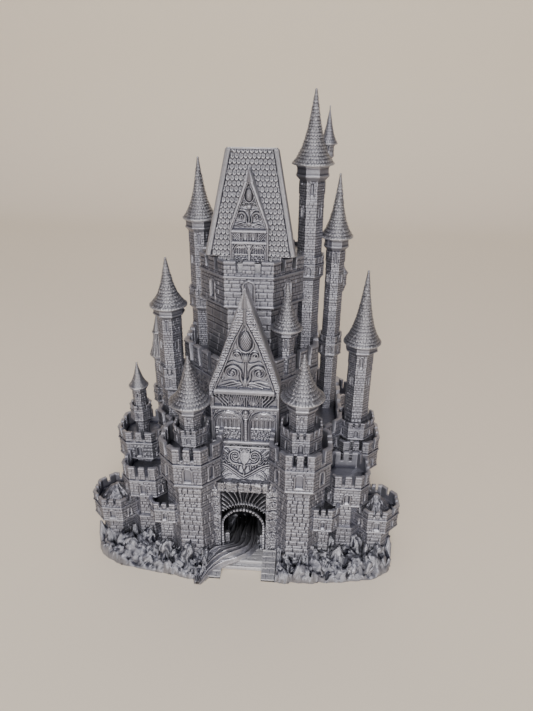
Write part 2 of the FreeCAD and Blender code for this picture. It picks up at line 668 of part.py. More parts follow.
def keep_roof():
    """Funnel roof with a plug that drops inside the parapet."""
    body = body_at("keep_roof", 0, dim("keep_y"))
    plug_half, plug_facet, clear = group("roof_plug", "half facet clear")
    plug_z = dim("crown_floor_z")
    funnel_z = dim("roof_eave_z") + dim("funnel_lift")
    pad(body, "roof_plug", [octagon(plug_half - clear, plug_facet - clear)],
        plug_z, dim("roof_neck_z"))
    roof_outside(body, "roof")
    roof_loft(body, "SubtractiveLoft", "roof_funnel", "roof_inner",
              dim("roof_half") - dim("funnel_inset"), funnel_z, dim("inlet_half"))
    bore_x = dim("shaft_half_x") + dim("plug_bore_margin")
    bore_y = dim("plug_bore_half_y")
    pocket(body, "roof_plug_bore", [rect(-bore_x, -bore_y, bore_x, bore_y)], funnel_z, plug_z)

    # slanting cut that lowers the mouth towards the back
    half, top, drop = group("roof", "top_half top_z mouth_drop")
    run, fall, cut_half = group("mouth", "run_ratio drop_ratio cut_half")
    side = sketch(body, "mouth_side",
                  [[(-half, top), (half * run, top - drop * fall),
                    (half * run, top + CUT_OVER), (-half, top + CUT_OVER)]],
                  cut_half, "YZ_Plane")
    extrude(body, "Pocket", "mouth_cut", side, cut_half * 2)
    return body


def roof_hull():
    """Solid copy of the roof's outside, to fit the dormers against the slopes."""
    body = body_at("roof_hull", 0, dim("keep_y"))
    roof_outside(body, "hull")
    return body


def dormer(name):
    outline = gable_outline(*group("dormer", "half z eave_z tip_half tip_z"))
    return upright(name, outline, *group(name, "front_y back_y"))


# ------------------------------------------------------ inside the drop shaft
def across_shaft(name, sketch_name, pad_name, loop):
    """A side outline (y, z) that fills the shaft from left to right."""
    body = body_at(name)
    half = dim("shaft_half_x") - dim("baffle_gap")
    side_pad(body, sketch_name, pad_name, loop, -half, half)
    return body


def baffle(name, from_back):
    """A sloping plate across the shaft, fixed to one wall; dice tumble off its lip."""
    thick, reach, drop = group("baffle", "thick reach drop")
    z = dim(name + "_z")
    if from_back:
        wall_y = dim("shaft_back_y")
        lip_y = wall_y - reach
    else:
        wall_y = dim("shaft_front_y")
        lip_y = wall_y + reach
    return across_shaft(name, name + "_side", name + "_plate",
                        [(wall_y, z), (lip_y, z - drop),
                         (lip_y, z - drop - thick), (wall_y, z - thick - thick)])


def exit_ramp():
    back, floor = dim("shaft_back_y"), dim("floor_z")
    high, shoulder, toe_y, toe_z = group("ramp", "high_z shoulder toe_y toe_z")
    return across_shaft("exit_ramp", "ramp_side", "ramp_wedge",
                        [(back, floor), (back, high), (back - shoulder, high - shoulder),
                         (14.0, 19.5), (-6.0, 9.6), (toe_y, toe_z), (toe_y, floor)])


# ------------------------------------------------------------------- entrance
def entrance_steps():
    """Landing before the gate, with a flight of treads on either side."""
    out, front, rise, run = group("stair", "out front_y rise run")
    inner, landing_y, back = dim("landing_half"), dim("landing_y"), dim("gate_front_y")
    body = body_at("entrance_steps")
    pad(body, "landing", [rect(-out, landing_y, out, back)], 0, dim("floor_z"))
    for j, (x0, x1) in enumerate(((-out, -inner), (inner, out))):
        for i in range(STAIR_TREADS):
            pad(body, "tread_%d_%d" % (j, i), [rect(x0, front + run * i, x1, back)],
                rise * i, rise * (i + 1))
    return body


def draped_runner():
    """Cloth runner: lies before the ramp's toe, then falls over the left flight."""
    left, right, thick, gap, tail_height, fold_z, fold_height = group(
        "runner", "left_x right_x thick end_gap tail_height fold_z fold_height")
    floor = dim("floor_z")
    body = body_at("draped_runner")
    pad(body, "runner_middle", [rect(left, dim("landing_y"), right, dim("ramp_toe_y") - gap)],
        floor, floor + thick)
    tail = [(-24.5, -75.0), (-21.0, -75.0), (-9.0, -63.5), (-9.0, -60.0), (-17.5, -60.0)]
    extrude(body, "Pad", "runner_tail", sketch(body, "runner_tail_foot", [tail]), tail_height)
    fold = rect(-17.0, -63.0, -6.0, -58.0)
    extrude(body, "Pad", "runner_fold", sketch(body, "runner_fold_foot", [fold], fold_z),
            fold_height)
    return body


# ------------------------------------------------------------ fit the pieces
def overlaps(shape, other):
    if not shape.BoundBox.intersect(other.BoundBox):
        return False
    return shape.common(other).Volume > MIN_OVERLAP


def fit(pieces, hull):
    """Notches each piece where it would run into an earlier one; name -> object."""
    fitted = {}
    for piece in pieces:
        name = piece.Label
        if name in fitted:
            raise SystemExit("label clash: " + name)
        tools = {other: obj for other, obj in fitted.items()
                 if overlaps(piece.Shape, obj.Shape)}
        if name in ("front_dormer", "rear_dormer"):
            # the hull stands in for the hollow roof
            tools.pop("keep_roof", None)
            tools["roof_hull"] = hull
        tools = list(tools.values())
        if not tools:
            fitted[name] = piece
            continue
        piece.Label = name + "_whole"
        tool = tools[0]
        if len(tools) > 1:
            tool = doc.addObject("Part::MultiFuse", name + "_neighbours")
            tool.Shapes = tools
        cut = doc.addObject("Part::Cut", name + "_fitted")
        cut.Base = piece
        cut.Tool = tool
        doc.recompute()
        cut.Label = name
        fitted[name] = cut
    return fitted


# In order of priority: the first keeps its full shape, later ones are notched.
pieces = [
    rock_base(), gate_tower("left"), gate_tower("right"), gatehouse(),
    mid_ward(), keep_wall(), keep_crown(),
    *[bastion(name) for name in BASTIONS],
    lower_ward(), gate_lintel(), shield_panel(), window_screen(), gable_front(),
    *[turret(name) for name in TURRETS],
    *[spire(name) for name in SPIRES],
    *[bartizan(name) for name in BARTIZANS],
    keep_roof(), dormer("front_dormer"), dormer("rear_dormer"),
    baffle("baffle_upper", True), baffle("baffle_middle", False), baffle("baffle_lower", True),
    exit_ramp(), entrance_steps(), draped_runner(),
]
hull = roof_hull()
doc.recompute()
fitted = fit(pieces, hull)
doc.recompute()

# --------------------------------------------------------------- check, write
bad = [obj.Label for obj in doc.Objects if "Invalid" in obj.State or "Error" in obj.State]
if bad:
    raise SystemExit("failed objects: " + ", ".join(bad))
for name, obj in fitted.items():
    if obj.Shape.isNull() or not obj.Shape.isValid() or not obj.Shape.Solids:
        raise SystemExit("bad shape: " + name)

os.makedirs("parts", exist_ok=True)
for old_file in os.listdir("parts"):
    if old_file.endswith(".step"):
        os.remove(os.path.join("parts", old_file))
for name, obj in fitted.items():
    obj.Shape.exportStep("parts/%s.step" % name)
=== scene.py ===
"""A silver printed castle on a rock base, with steps and a draped runner at its gate.

Shapes are drawn in millimetres and built in metres. +Z is up, the gate faces -Y (the
front), left is -X and right is +X. Most towers are eight-sided profiles swept round a
vertical axis and then carved by a relief function; the ornament is height-field panels.
"""
import json
import math
from dataclasses import dataclass
from itertools import product

import bmesh
import bpy
import numpy as np
from mathutils import Matrix, Vector

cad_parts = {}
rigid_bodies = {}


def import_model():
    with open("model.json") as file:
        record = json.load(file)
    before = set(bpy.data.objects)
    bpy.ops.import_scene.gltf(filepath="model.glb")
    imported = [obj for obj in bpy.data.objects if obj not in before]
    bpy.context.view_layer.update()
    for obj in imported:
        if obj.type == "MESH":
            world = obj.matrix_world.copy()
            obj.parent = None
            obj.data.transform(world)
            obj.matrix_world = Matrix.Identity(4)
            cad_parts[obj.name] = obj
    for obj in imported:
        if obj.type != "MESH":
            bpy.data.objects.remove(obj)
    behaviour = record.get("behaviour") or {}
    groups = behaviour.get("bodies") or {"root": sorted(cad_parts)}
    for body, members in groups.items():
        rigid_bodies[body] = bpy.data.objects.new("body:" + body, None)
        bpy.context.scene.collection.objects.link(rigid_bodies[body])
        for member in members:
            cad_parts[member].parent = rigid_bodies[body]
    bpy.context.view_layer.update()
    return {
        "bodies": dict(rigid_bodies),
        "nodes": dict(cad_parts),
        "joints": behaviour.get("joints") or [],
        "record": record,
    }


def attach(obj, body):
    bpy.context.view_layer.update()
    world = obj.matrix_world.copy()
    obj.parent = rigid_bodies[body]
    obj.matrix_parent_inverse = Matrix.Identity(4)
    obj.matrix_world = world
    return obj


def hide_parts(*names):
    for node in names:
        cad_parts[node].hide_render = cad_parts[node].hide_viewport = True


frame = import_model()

MM = 0.001


def pick(full):
    return full


RES = pick(0.40)              # grid pitch of the carved walls
PANEL_RES = pick(0.225)       # grid pitch of the large ornament panels
BASE_Z = 12.0                       # foot of the bastions and of the lower ward
KEEP_Y = 18.0                       # centre of the keep and of the shaft that runs down it
ORNAMENT_X = 0.8                    # the front ornament is centred a little to the right


# ------------------------------------------------------------------ noise and shaping
def random_at(ix, iy, iz, seed):
    """Repeatable value from 0 to 1 for each whole-numbered point."""
    ix, iy, iz = (np.asarray(k, dtype=np.int64) for k in (ix, iy, iz))
    v = (ix * 73856093) ^ (iy * 19349663) ^ (iz * 83492791) ^ (seed * 2654435 + 97)
    v = (v ^ (v >> 15)) * 739981
    v = v & 0x7fffffff
    v = (v ^ (v >> 12)) * 297121
    v = v & 0x7fffffff
    v = v ^ (v >> 9)
    return (v & 0xffff) / 65535.0


def noise(x, y, z, seed=0):
    """Smooth value noise from -1 to 1 with a cell of 1."""
    x, y, z = np.broadcast_arrays(x, y, z)
    ix, iy, iz = np.floor(x), np.floor(y), np.floor(z)
    ux, uy, uz = (f * f * (3 - 2 * f) for f in (x - ix, y - iy, z - iz))
    total = 0.0
    for dx, dy, dz in product((0, 1), repeat=3):
        weight = (ux if dx else 1 - ux) * (uy if dy else 1 - uy) * (uz if dz else 1 - uz)
        total = total + weight * random_at(ix + dx, iy + dy, iz + dz, seed)
    return total * 2.0 - 1.0


def fbm(x, y, z, octaves=3, seed=0):
    """Octaves of noise, each about twice as fine and half as strong."""
    total, amp = 0.0, 0.5
    for k in range(octaves):
        total = total + amp * noise(x, y, z, seed + k * 17)
        x, y, z, amp = x * 2.07, y * 2.07, z * 2.07, amp * 0.5
    return total


def smooth(t):
    t = np.clip(t, 0.0, 1.0)
    return t * t * (3 - 2 * t)


def joint(distance, width):
    """0 on the face of a block, falling to -1 in the joint at distance 0."""
    return smooth(distance / width) - 1


def bead(d, centre, half):
    """Half-round section of height 1 across d."""
    return np.sqrt(np.clip(1 - ((d - centre) / half) ** 2, 0, 1))


# ------------------------------------------------------------------ materials
def add_node(tree, kind, inputs=None, **settings):
    """Adds a shader node; an input is given as a value or as the socket that feeds it."""
    node = tree.nodes.new("ShaderNode" + kind)
    for key, value in settings.items():
        setattr(node, key, value)
    for key, value in (inputs or {}).items():
        if isinstance(value, bpy.types.NodeSocket):
            tree.links.new(value, node.inputs[key])
        else:
            node.inputs[key].default_value = value
    return node


def calc(tree, operation, *values):
    return add_node(tree, "Math", dict(enumerate(values)), operation=operation).outputs[0]


def remap(tree, value, from_min, from_max, to_min=0.0, to_max=1.0):
    inputs = {"Value": value, "From Min": from_min, "From Max": from_max,
              "To Min": to_min, "To Max": to_max}
    return add_node(tree, "MapRange", inputs).outputs[0]


def dim(tree, color, factor):
    inputs = {0: color, "Scale": factor}
    return add_node(tree, "VectorMath", inputs, operation="SCALE").outputs[0]


def color_ramp(tree, factor, *stops):
    """Ramp through (position, rgb) stops: the two ends first, then any in between."""
    node = add_node(tree, "ValToRGB", {0: factor})
    elements = node.color_ramp.elements
    for k, (position, rgb) in enumerate(stops):
        element = elements[k] if k < 2 else elements.new(position)
        element.position = position
        element.color = tuple(rgb) + (1,)
    return node.outputs[0]


def noise_node(tree, coords, scale, detail):
    inputs = {"Vector": coords, "Scale": scale, "Detail": detail}
    return add_node(tree, "TexNoise", inputs).outputs["Fac"]


@dataclass
class HoodShade:
    """Painted shade for the recess behind the gate's arch ring, in metres."""
    x: float
    z: float                # centre of the ellipse
    radius_x: float
    radius_z: float
    half: float             # half width of the box round the fan of folds
    z_low: float
    z_high: float
    ellipse_y: tuple = (-0.0502, -0.0492, 1.0, 0.16)    # from y, to y, brightness at each
    box_y: tuple = (-0.0498, -0.0464, 1.0, 0.30)


def hood_shade(tree, axes, hood):
    """Brightness factor of the painted shade: darkens the ellipse, and the fan above it less."""
    off_x = calc(tree, "SUBTRACT", axes["X"], hood.x)
    off_z = calc(tree, "SUBTRACT", axes["Z"], hood.z)

    def squared(value, radius):
        ratio = calc(tree, "ABSOLUTE", calc(tree, "DIVIDE", value, radius))
        return calc(tree, "POWER", ratio, 2.0)

    radial = calc(tree, "ADD", squared(off_x, hood.radius_x), squared(off_z, hood.radius_z))
    out_ellipse = remap(tree, radial, 0.99, 1.04)
    below = remap(tree, axes["Z"], hood.z_low + 0.002, hood.z_low)
    out_box = calc(tree, "MAXIMUM",
                   remap(tree, calc(tree, "ABSOLUTE", off_x), hood.half - 0.0003, hood.half),
                   remap(tree, axes["Z"], hood.z_high - 0.0005, hood.z_high))
    shades = []
    for outside, depth in ((out_ellipse, hood.ellipse_y), (out_box, hood.box_y)):
        clear = calc(tree, "MAXIMUM", outside, below)
        shades.append(calc(tree, "MAXIMUM", clear, remap(tree, axes["Y"], *depth)))
    return calc(tree, "MULTIPLY", *shades)


def silver(name, tint=(0.342, 0.348, 0.405), rough=0.40, aniso=0.75, grain=0.35, vary=0.06,
           crevice_shade=(0.036, 0.038, 0.060), metallic=0.82, cavity=(0.45, 0.528), inside=None,
           hood=None):
    """Silk silver print: pearly metallic plastic with fine horizontal layers.

    vary is the swing of the tint, cavity the pointiness range from the painted crevice shade colour
    to the tint, and inside the y range (metres) over which a passage fades to painted shade."""
    material = bpy.data.materials.new(name)
    material.use_nodes = True
    tree = material.node_tree
    tree.nodes.clear()
    coords = add_node(tree, "TexCoord").outputs["Object"]
    axes = add_node(tree, "SeparateXYZ", {0: coords}).outputs

    # colour: slow swirls of pearl, speckle, and painted shade in crevices
    swirl = noise_node(tree, coords, scale=60.0, detail=4.0)
    speck = noise_node(tree, coords, scale=900.0, detail=3.0)
    pearl = color_ramp(tree, swirl, (0.3, [max(0, c - vary) for c in tint]),
                       (0.7, [min(1, c + vary) for c in tint]))
    speckled = add_node(tree, "Mix", {"Factor": 0.25, "A": pearl, "B": speck},
                        data_type="RGBA", blend_type="OVERLAY")
    pointiness = add_node(tree, "NewGeometry").outputs["Pointiness"]
    # painted shade: low pointiness (crevices and joints) mixes the colour towards the shade colour
    raised = color_ramp(tree, pointiness, (cavity[0], (0, 0, 0)), (cavity[1], (1, 1, 1)))
    inputs = {"Factor": raised, "A": crevice_shade + (1,), "B": speckled.outputs["Result"]}
    color = add_node(tree, "Mix", inputs, data_type="RGBA").outputs["Result"]
    # painted shade: the colour fades towards the back of the passage along y
    if inside:
        color = dim(tree, color, remap(tree, axes["Y"], *inside, 1.0, 0.12))
    # painted shade in the recess behind the gate's arch ring
    if hood:
        color = dim(tree, color, hood_shade(tree, axes, hood))

    # printed layers 0.2 mm high, and the speckle as fine grain
    phase = calc(tree, "MULTIPLY", axes["Z"], 2 * math.pi / 0.0002)
    layers = calc(tree, "MULTIPLY_ADD", calc(tree, "SINE", phase), 0.25, speck)
    bump = add_node(tree, "Bump", {"Strength": grain, "Distance": 0.00025, "Height": layers})
    # nearly vertical, so the highlights stretch across the layers
    tangent = add_node(tree, "CombineXYZ", {0: 0.021, 1: 0.013, 2: 1.0})
    shader = add_node(tree, "BsdfPrincipled", {
        "Base Color": color,
        "Roughness": remap(tree, speck, 0.0, 1.0, rough - 0.07, rough + 0.09),
        "Metallic": metallic,
        "Anisotropic": aniso,
        "Tangent": tangent.outputs[0],
        "Coat Weight": 0.12,
        "Coat Roughness": 0.25,
        "Normal": bump.outputs[0],
    })
    add_node(tree, "OutputMaterial", {0: shader.outputs[0]})
    return material


# where the painted shade lies behind the gate's arch ring
GATE_HOOD_SHADE = HoodShade(x=0.0003, z=0.0228, radius_x=0.0168, radius_z=0.0152, half=0.0126,
                 z_low=0.0155, z_high=0.0515)
# All pieces are one silver plastic; the copies' tints differ as painted light: the roof, steps and
# runner are made lighter
MATERIALS = {
    "masonry": silver("silver_masonry"),
    # painted shade: the gate's passage and the recess behind its arch ring are darkened
    "gate": silver("silver_gate", tint=(0.37, 0.376, 0.43), inside=(-0.0465, -0.036),
                   hood=GATE_HOOD_SHADE),
    "steps": silver("silver_steps", tint=(0.52, 0.525, 0.57), rough=0.50, aniso=0.3,
                    metallic=0.45, cavity=(0.44, 0.515)),
    "roof": silver("silver_roof", tint=(0.52, 0.527, 0.58), rough=0.36, aniso=0.6, grain=0.4,
                   cavity=(0.458, 0.56), crevice_shade=(0.03, 0.031, 0.05)),
    "ornament": silver("silver_ornament", tint=(0.375, 0.38, 0.435), rough=0.36, aniso=0.6,
                       grain=0.3, cavity=(0.455, 0.53)),
    "rock": silver("silver_rock", tint=(0.375, 0.385, 0.445), rough=0.42, aniso=0.45,
                   grain=0.5, cavity=(0.43, 0.525)),
    # painted shade: the runner darkens where it runs into the passage
    "runner": silver("silver_runner", tint=(0.42, 0.425, 0.485), rough=0.34, aniso=0.55,
                     grain=0.2, crevice_shade=(0.07, 0.073, 0.10), cavity=(0.46, 0.51),
                     inside=(-0.043, -0.032)),
    # near-black copy of the silver: painted shade for pieces deep in the gate passage
    "inside": silver("silver_painted_shade", tint=(0.10, 0.102, 0.12), rough=0.45, aniso=0.6,
                     grain=0.3, vary=0.02, crevice_shade=(0.02, 0.02, 0.03)),
}


# ------------------------------------------------------------------ mesh gathering
def uv_quads(u0, u1, v0, v1):
    corners = ((u0, v0), (u1, v0), (u1, v1), (u0, v1))
    return np.stack([np.stack(corner, 1) for corner in corners], axis=1)


class Shell:
    """Collects the closed surfaces (mm) of one piece, with a packed UV layout."""

    def __init__(self):
        self.points, self.quads, self.tris = [], [], []
        self.quad_uvs, self.tri_uvs = [], []     # (patch number, face corners in 0..1)
        self.patches = []                        # width and height in mm
        self.count = 0

    def add_points(self, points):
        """Returns the number of the first point added."""
        first = self.count
        self.points.append(np.asarray(points, float).reshape(-1, 3))
        self.count += len(self.points[-1])
        return first

    def add_faces(self, faces, uv, width, height, flip=False):
        if flip:
            faces, uv = faces[:, ::-1], uv[:, ::-1]
        is_quad = faces.shape[1] == 4
        (self.quads if is_quad else self.tris).append(faces)
        (self.quad_uvs if is_quad else self.tri_uvs).append((len(self.patches), uv))
        self.patches.append((max(width, 0.4), max(height, 0.4)))

    def grid(self, points, wrap_i=False, wrap_j=False, flip=False, skip=None):
        """Joins points (rows j, columns i, 3) with quads. Returns the point numbers."""
        rows, cols = points.shape[:2]
        ids = self.add_points(points) + np.arange(rows * cols).reshape(rows, cols)
        across = cols if wrap_i else cols - 1
        down = rows if wrap_j else rows - 1
        j, i = np.meshgrid(np.arange(down), np.arange(across), indexing="ij")
        j, i = j.ravel(), i.ravel()
        if skip is not None:
            keep = ~skip(j, i)
            j, i = j[keep], i[keep]
        j1, i1 = (j + 1) % rows, (i + 1) % cols
        quads = np.stack([ids[j, i], ids[j, i1], ids[j1, i1], ids[j1, i]], axis=1)
        width = np.linalg.norm(np.diff(points, axis=1), axis=2).max(axis=0).sum()
        height = np.median(np.linalg.norm(np.diff(points, axis=0), axis=2), axis=1).sum()
        u, v = float(across), float(down)
        uv = uv_quads(i / u, (i + 1) / u, j / v, (j + 1) / v)
        self.add_faces(quads, uv, min(width, 900.0), height, flip)
        return ids

    def fan(self, ring, centre, flip=False):
        """Closes a ring of point numbers with triangles to a centre point."""
        middle = self.add_points(centre)
        ring = np.asarray(ring)
        tris = np.stack([ring, np.roll(ring, -1), np.full(len(ring), middle)], axis=1)
        a = np.linspace(0, 2 * math.pi, len(ring) + 1)
        rim = np.stack([0.5 + 0.5 * np.cos(a), 0.5 + 0.5 * np.sin(a)], 1)
        uv = np.stack([rim[:-1], rim[1:], np.full_like(rim[1:], 0.5)], axis=1)
        self.add_faces(tris, uv, 8.0, 8.0, flip)

    def caps(self, ids, points, flip=False):
        """Closes the first and the last row."""
        self.fan(ids[0], points[0].mean(axis=0), flip=not flip)
        self.fan(ids[-1], points[-1].mean(axis=0), flip=flip)

    def tube(self, points, flip=False):
        """Rows joined into a closed tube with both ends capped."""
        ids = self.grid(points, wrap_i=True, flip=flip)
        self.caps(ids, points, flip)
        return ids

    def solid(self, points, tris, size):
        """A small closed solid, mapped by direction with its two halves side by side."""
        first = self.add_points(points)
        out = points - points.mean(axis=0)
        out = out / (np.linalg.norm(out, axis=1, keepdims=True) + 1e-9)
        corners = out[tris]
        uv = corners[:, :, :2] * 0.5 + 0.5
        upper = corners.mean(axis=1)[:, 2] >= 0
        uv[:, :, 0] = uv[:, :, 0] * 0.5 + np.where(upper, 0.0, 0.5)[:, None]
        self.add_faces(tris + first, uv, size * 2, size)

    def pack(self):
        """Lays the patches in rows, tallest first. Returns x, y, width, height of each."""
        area = sum(w * h for w, h in self.patches)
        sheet = max(math.sqrt(area * 1.1), max(w for w, h in self.patches)) * 1.02
        pad = sheet * 0.004
        x = y = row = 0.0
        spots = {}
        for k in sorted(range(len(self.patches)), key=lambda k: -self.patches[k][1]):
            w, h = self.patches[k]
            if x + w + pad > sheet and x > 0:
                x, y, row = 0.0, y + row + pad, 0.0
            spots[k] = (x, y, w, h)
            x += w + pad
            row = max(row, h)
        s = 0.998 / max(sheet + pad, y + row)
        return {k: (x * s + 0.001, y * s + 0.001, w * s, h * s)
                for k, (x, y, w, h) in spots.items()}

    def build(self, name, material="masonry"):
        """Makes the object that replaces the CAD piece of this name."""
        points = np.concatenate(self.points) * MM
        quads = np.concatenate(self.quads) if self.quads else np.zeros((0, 4), int)
        tris = np.concatenate(self.tris) if self.tris else np.zeros((0, 3), int)
        # drop points that no face uses
        used = np.zeros(len(points), bool)
        used[quads.ravel()] = True
        used[tris.ravel()] = True
        renumber = np.cumsum(used) - 1
        points, quads, tris = points[used], renumber[quads], renumber[tris]

        mesh = bpy.data.meshes.new(name + "_print")
        mesh.vertices.add(len(points))
        mesh.vertices.foreach_set("co", points.astype(np.float32).ravel())
        corners = np.concatenate([quads.ravel(), tris.ravel()]).astype(np.int32)
        mesh.loops.add(len(corners))
        mesh.loops.foreach_set("vertex_index", corners)
        starts = np.concatenate([np.arange(len(quads)) * 4,
                                 len(quads) * 4 + np.arange(len(tris)) * 3])
        mesh.polygons.add(len(starts))
        mesh.polygons.foreach_set("loop_start", starts.astype(np.int32))
        spots = self.pack()
        uvs = []
        for patch, uv in self.quad_uvs + self.tri_uvs:
            x, y, w, h = spots[patch]
            uvs.append((uv * np.array([w, h]) + np.array([x, y])).reshape(-1, 2))
        layer = mesh.uv_layers.new(name="OFBake")
        layer.data.foreach_set("uv", np.concatenate(uvs).astype(np.float32).ravel())
        mesh.update(calc_edges=True)
        mesh.validate(verbose=False)
        mesh.polygons.foreach_set("use_smooth", np.full(len(mesh.polygons), True))
        mesh.update()

        piece = bpy.data.objects.new(name + "_print", mesh)
        bpy.context.scene.collection.objects.link(piece)
        mesh.materials.append(MATERIALS[material])
        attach(piece, "root")
        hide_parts(name)


# ------------------------------------------------------------------ eight-sided lathe
# What a profile row belongs to; relief functions carve by it.
PLAIN, SHAFT, CROWN, BAND, PARAPET, LINING, FLOOR, UPPER = range(8)
EIGHTH = 0.41421            # half side over half width of a regular octagon


def octagon(hx, hy=None, bx=None, by=None, oy=0.0):
    """Half widths along X and Y, half lengths of the front/back (bx) and side (by) facets,
    and an offset along Y."""
    hy = hx if hy is None else hy
    bx = hx * EIGHTH if bx is None else bx
    by = bx if by is None else by
    return np.array([hx, hy, bx, by, oy], float)


def grow(poly, d, facet_share=EIGHTH):
    return poly + np.array([d, d, d * facet_share, d * facet_share, 0.0])


def ring_corners(poly):
    """Corners anticlockwise from the left end of facet 0, the front one (-Y)."""
    hx, hy, bx, by, oy = poly
    return np.array([(-bx, oy - hy), (bx, oy - hy), (hx, oy - by), (hx, oy + by),
                     (bx, oy + hy), (-bx, oy + hy), (-hx, oy + by), (-hx, oy - by)])


# Gaps between merlons by how many a facet has, from -1 to 1 along the facet.
GAPS = {
    0: [],
    1: [(-0.22, 0.22)],
    2: [(-0.52, -0.24), (0.24, 0.52)],
    3: [(-0.66, -0.44), (-0.11, 0.11), (0.44, 0.66)],
    4: [(-0.73, -0.55), (-0.31, -0.13), (0.13, 0.31), (0.55, 0.73)],
    5: [(-0.78, -0.63), (-0.43, -0.28), (-0.075, 0.075), (0.28, 0.43), (0.63, 0.78)],
}


def row_heights(z0, z1, marks, res):
    """Row heights between z0 and z1 that include the given joint lines."""
    heights = list(np.linspace(z0, z1, max(2, int(math.ceil((z1 - z0) / res)) + 1)))
    for mark in marks:
        if z0 + 0.05 < mark < z1 - 0.05:
            k = int(np.argmin([abs(z - mark) for z in heights]))
            if 0 < k < len(heights) - 1:
                heights[k] = mark
            else:
                heights.append(mark)
    return sorted(set(round(z, 4) for z in heights if z0 < z < z1))


class Profile:
    """Rows of (octagon, z, merlon rise, tag, roundness) in sweeping order."""

    def __init__(self):
        self.rows = []

    def add(self, poly, z, tag=PLAIN, rise=0.0, roundness=0.0):
        self.rows.append((np.array(poly, float), float(z), float(rise), tag, float(roundness)))
        return self

    def to(self, poly, z, tag=PLAIN, roundness=None, res=None, zs=None, n=None):
        """Runs straight to a new ring, with rows at heights zs or in n even parts."""
        p0, z0, _, _, r0 = self.rows[-1]
        poly = np.array(poly, float)
        r1 = r0 if roundness is None else roundness
        if zs is not None:
            for row_z in zs:
                t = (row_z - z0) / (z - z0)
                if 0 < t < 1:
                    self.add(p0 + (poly - p0) * t, row_z, tag, 0.0, r0 + (r1 - r0) * t)
            return self.add(poly, z, tag, 0.0, r1)
        reach = max(np.abs(poly - p0).max(), abs(z - z0))
        n = n or max(1, int(math.ceil(reach / (res or RES))))
        for k in range(1, n + 1):
            t = k / n
            self.add(p0 + (poly - p0) * t, z0 + (z - z0) * t, tag, 0.0, r0 + (r1 - r0) * t)
        return self

    def step(self, poly, z, tag=PLAIN):
        return self.to(poly, z, tag, n=1)

    def courses(self, poly, z, tag, masonry, res=None):
        """Wall whose rows fall on the bed joints of the masonry."""
        zs = row_heights(self.rows[-1][1], z, masonry.beds, res or RES)
        return self.to(poly, z, tag, zs=zs)

    def band(self, poly, z, proud=0.55, tall=0.9):
        """String course: a rounded moulding that stands out of the wall."""
        for out, up in ((0, -0.5), (0.7, -0.46), (1, -0.2), (1, 0.2), (0.7, 0.46), (0, 0.5)):
            self.step(grow(poly, proud * out), z + tall * up, BAND)

    def parapet(self, poly, z_low, z_top, wall, z_floor, facet_share=0.41, res=None):
        """Merloned wall: up the outside, over the top, down the inside."""
        inner = grow(poly, -wall, facet_share)
        rise = z_top - z_low
        n = max(3, int(math.ceil(rise / (res or RES))))
        for k in range(1, n + 1):
            self.add(poly, z_low, PARAPET, rise * k / n)
        self.add(grow(poly, -0.22), z_low + 0.12, rise=rise)
        self.add(grow(inner, 0.22), z_low + 0.12, rise=rise)
        self.add(inner, z_low, rise=rise)
        n = max(2, n // 2)
        for k in range(1, n + 1):
            self.add(inner, z_low, rise=rise * (1 - k / n))
        self.to(inner, z_floor, n=max(1, int((z_low - z_floor) / 0.8)))
        return inner


class Skin:
    """Arrays over the swept surface, for relief functions: tag, facet, s (distance along
    the facet from its middle), half (half length of the facet), solid (1, or less in a
    merlon gap), and x, y, z, with x and y measured from the sweep's axis."""

    def __init__(self, **arrays):
        self.__dict__.update(arrays)

    def part(self, rows):
        return Skin(**{key: array[rows] for key, array in self.__dict__.items()})


def lathe_columns(widths, gaps, gap_floor, res, facet_cols):
    """Facet, place from -1 to 1 along it, and solidity of each column."""
    facet, along, solid = [], [], []
    for f in range(8):
        n = facet_cols or max(2, int(math.ceil(widths[f] / res)))
        stops = list(np.linspace(-1, 1, n + 1)[:-1])
        eps = min(0.03, 0.07 / max(widths[f] / 2, 0.1))
        openings = GAPS[gaps[f]]
        for g0, g1 in openings:
            stops = [t for t in stops if min(abs(t - g0), abs(t - g1)) > 2.2 * eps]
            stops += [g0 - eps, g0 + eps, g1 - eps, g1 + eps]
        for t in sorted(stops):
            facet.append(f)
            along.append(t)
            solid.append(gap_floor if any(g0 < t < g1 for g0, g1 in openings) else 1.0)
    return np.array(facet), np.array(along), np.array(solid)


